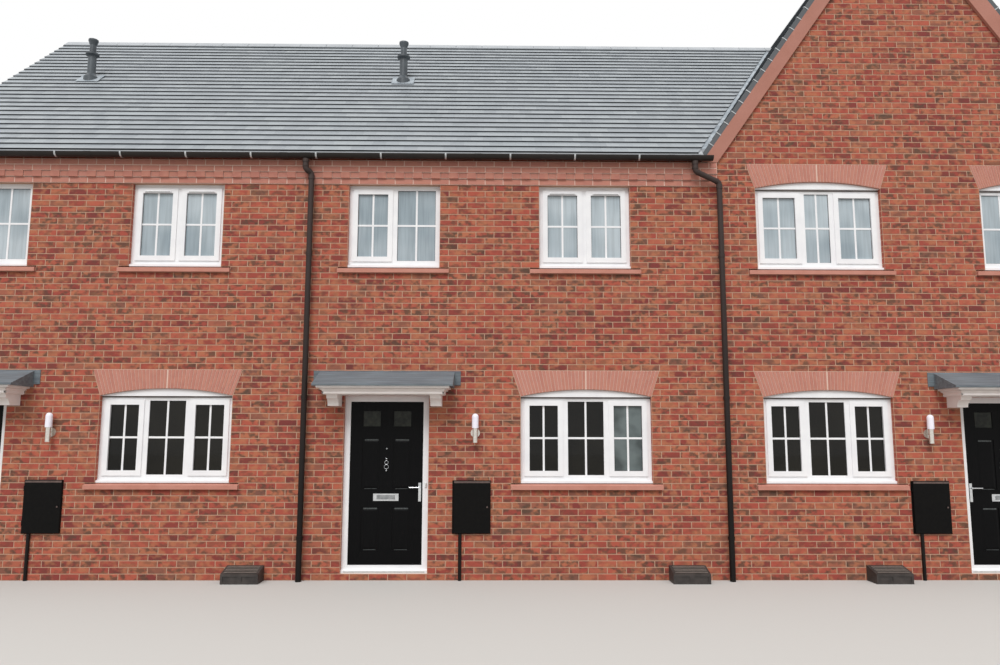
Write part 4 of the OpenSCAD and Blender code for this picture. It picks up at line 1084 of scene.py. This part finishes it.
def doorMetal(name):
    low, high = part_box(name + "_door")
    middle, face = (low.x + high.x) / 2, low.y
    bm = bmesh.new()
    for height, size in knocker["knobs"]:
        addKnob(bm, (middle, face - knocker["knobOut"], height), size)
    for height, radius in knocker["rings"]:
        addRing(bm, (middle, face - knocker["ringOut"], height), radius)
    addDisc(bm, (middle, face - viewer["out"], viewer["height"]), viewer["wide"], viewer["narrow"],
            viewer["depth"])
    front, back = flap["out"]
    addBox(bm, (middle - flap["half"], face - front, flap["low"]),
           (middle + flap["half"], face - back, flap["high"]), flap["round"])
    outward(bm)
    finishPiece(name + "DoorMetal", bm, dullChrome, name + "_door")


for name in houses:
    panelPiece(name, "lights", "DoorLights", doorGlass)
    panelPiece(name, "edges", "DoorBevelHighlights", doorBevelHighlight)
    doorMetal(name)


# Bell push on the jamb and a strip on the threshold of each front door
bell = {"side": 0.478, "height": 1.10, "frameBack": 0.06, "half": (0.012, 0.028), "thick": 0.012,
        "round": 0.004, "buttonOut": 0.014,
        "button": {"wide": 0.009, "narrow": 0.008, "depth": 0.006, "segments": 20}}
sill = {"low": 0.087, "high": 0.103, "in": 0.03, "proud": 0.004, "round": 0.0015}


def framePieces():
    push, strips = bmesh.new(), bmesh.new()
    face, height = -wallY + bell["frameBack"], bell["height"]
    wide, tall = bell["half"]
    for low, high in looseBoxes("door_frames", -1):
        x = (low.x + high.x) / 2 + bell["side"]
        addBox(push, (x - wide, face - bell["thick"], height - tall), (x + wide, face, height + tall),
               bell["round"], 2)
        addDisc(push, (x, face - bell["buttonOut"], height), **bell["button"])
        addBox(strips, (low.x + sill["in"], low.y - sill["proud"], sill["low"]),
               (high.x - sill["in"], low.y, sill["high"]), sill["round"])
    outward(push)
    finishPiece("bellPushes", push, pressed)
    finishPiece("thresholdStrips", strips, pressed)


framePieces()
print("door furniture done")


# Ribs on the sloping lids of the gas housings
ribs = {"count": 5, "half": (0.189, 0.0065), "over": (0.0061, 0.0068), "front": 0.112,
        "rise": 0.063, "run": 0.225}


def ribPieces():
    bm = bmesh.new()
    lean = math.atan2(ribs["rise"], ribs["run"])
    slope = math.hypot(ribs["rise"], ribs["run"])
    wide, half = ribs["half"]
    under, over = ribs["over"]
    for low, high in looseBoxes("gas_housings"):
        bottom = Vector(((low.x + high.x) / 2, low.y, low.z + ribs["front"]))
        for index in range(ribs["count"]):
            place = slope * (index + 1) / (ribs["count"] + 1)
            before = set(bm.verts)
            addBox(bm, (-wide, place - half, under), (wide, place + half, over))
            fresh = [vert for vert in bm.verts if vert not in before]
            bmesh.ops.rotate(bm, verts=fresh, cent=(0, 0, 0), matrix=Matrix.Rotation(lean, 3, "X"))
            bmesh.ops.translate(bm, verts=fresh, vec=bottom)
    finishPiece("housingRibs", bm, housingRib)


# Lip and lock of each meter door, measured from its right edge, its top and the face of its lock; the lip is
# a pale strip of painted highlight
lid = {"lockOut": 0.006, "lockIn": 0.040, "lock": {"wide": 0.0100, "narrow": 0.0100, "depth": 0.001},
       "lockProud": 0.0004, "lipIn": (0.434, 0.008), "lipDown": (0.030, 0.008), "lipProud": 0.0006,
       "lipSunk": 0.0005}


def lidPiece(name):
    low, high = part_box(name + "_meter_door")
    bm = bmesh.new()
    face = low.y + lid["lockOut"]
    left, right = lid["lipIn"]
    bottom, top = lid["lipDown"]
    addBox(bm, (high.x - left, face - lid["lipProud"], high.z - bottom),
           (high.x - right, face + lid["lipSunk"], high.z - top))
    addDisc(bm, (high.x - lid["lockIn"], low.y - lid["lockProud"], (low.z + high.z) / 2), **lid["lock"])
    outward(bm)
    finishPiece(name + "MeterLipHighlightAndLock", bm, lipHighlightAndLock, name + "_meter_door")


ribPieces()
for name in houses:
    lidPiece(name)
print("meter parts done")


# Camera
view = {"spot": (-0.239, -13.0778, 1.7008), "lens": 28.44, "sensor": 36, "pitch": 0.1286, "yaw": 0.0128,
        "roll": 0.002}
lens = bpy.data.cameras.new("camera")
lens.lens = view["lens"]
lens.sensor_width = view["sensor"]
camera = bpy.data.objects.new("camera", lens)
scene.collection.objects.link(camera)
turn = (Matrix.Rotation(-view["yaw"], 4, "Z") @ Matrix.Rotation(math.pi / 2 + view["pitch"], 4, "X")
        @ Matrix.Rotation(view["roll"], 4, "Z"))
camera.matrix_world = Matrix.Translation(view["spot"]) @ turn
scene.camera = camera

# Floor: pale to look at and in mirrors, but it throws less light back
ground = {"half": 60, "roughness": 0.9, "seen": tone(192, 190, 186), "lit": tone(158, 154, 148)}
bm = bmesh.new()
bmesh.ops.create_grid(bm, x_segments=1, y_segments=1, size=ground["half"])
mesh = bpy.data.meshes.new("floor")
bm.to_mesh(mesh)
bm.free()
floor = bpy.data.objects.new("floor", mesh)
scene.collection.objects.link(floor)
floorFinish, tree, shader = newMaterial("paleFloor", ground["roughness"])
path = node(tree, "LightPath").outputs
looked = sums(tree, "MAXIMUM", path["Is Camera Ray"], path["Is Glossy Ray"])
tree.links.new(blendTones(tree, looked, ground["lit"], ground["seen"]), shader.inputs["Base Color"])
mesh.materials.append(floorFinish)

# Light: a grey sky that brightens upwards, white where it is seen, and a soft sun
lighting = {"horizon": 0.45, "zenith": 1.2, "sun": 2.0, "sunSoft": math.radians(32),
            "sunTilt": math.radians(42), "sunTurn": math.radians(-12)}
world = bpy.data.worlds.new("paleSky")
scene.world = world
world.use_nodes = True
tree = world.node_tree
rays = node(tree, "LightPath").outputs
seen = sums(tree, "MAXIMUM", rays["Is Camera Ray"],
            sums(tree, "MAXIMUM", rays["Is Glossy Ray"], rays["Is Transmission Ray"]))
height = split(tree, node(tree, "TexCoord").outputs["Generated"])["Z"]
grades = {"Value": height, "To Min": lighting["horizon"], "To Max": lighting["zenith"]}
dome = node(tree, "MapRange", grades).outputs[0]
power = node(tree, "MapRange", {"Value": seen, "To Min": dome, "To Max": 1.0}).outputs[0]
sky = tree.nodes["Background"]
tree.links.new(power, sky.inputs["Strength"])
sky.inputs["Color"].default_value = (1, 1, 1, 1)
lamp = bpy.data.lights.new("softSun", "SUN")
lamp.energy = lighting["sun"]
lamp.angle = lighting["sunSoft"]
sun = bpy.data.objects.new("softSun", lamp)
scene.collection.objects.link(sun)
sun.rotation_euler = (lighting["sunTilt"], 0, lighting["sunTurn"])
scene.view_settings.view_transform = "Standard"
print("camera and light set")
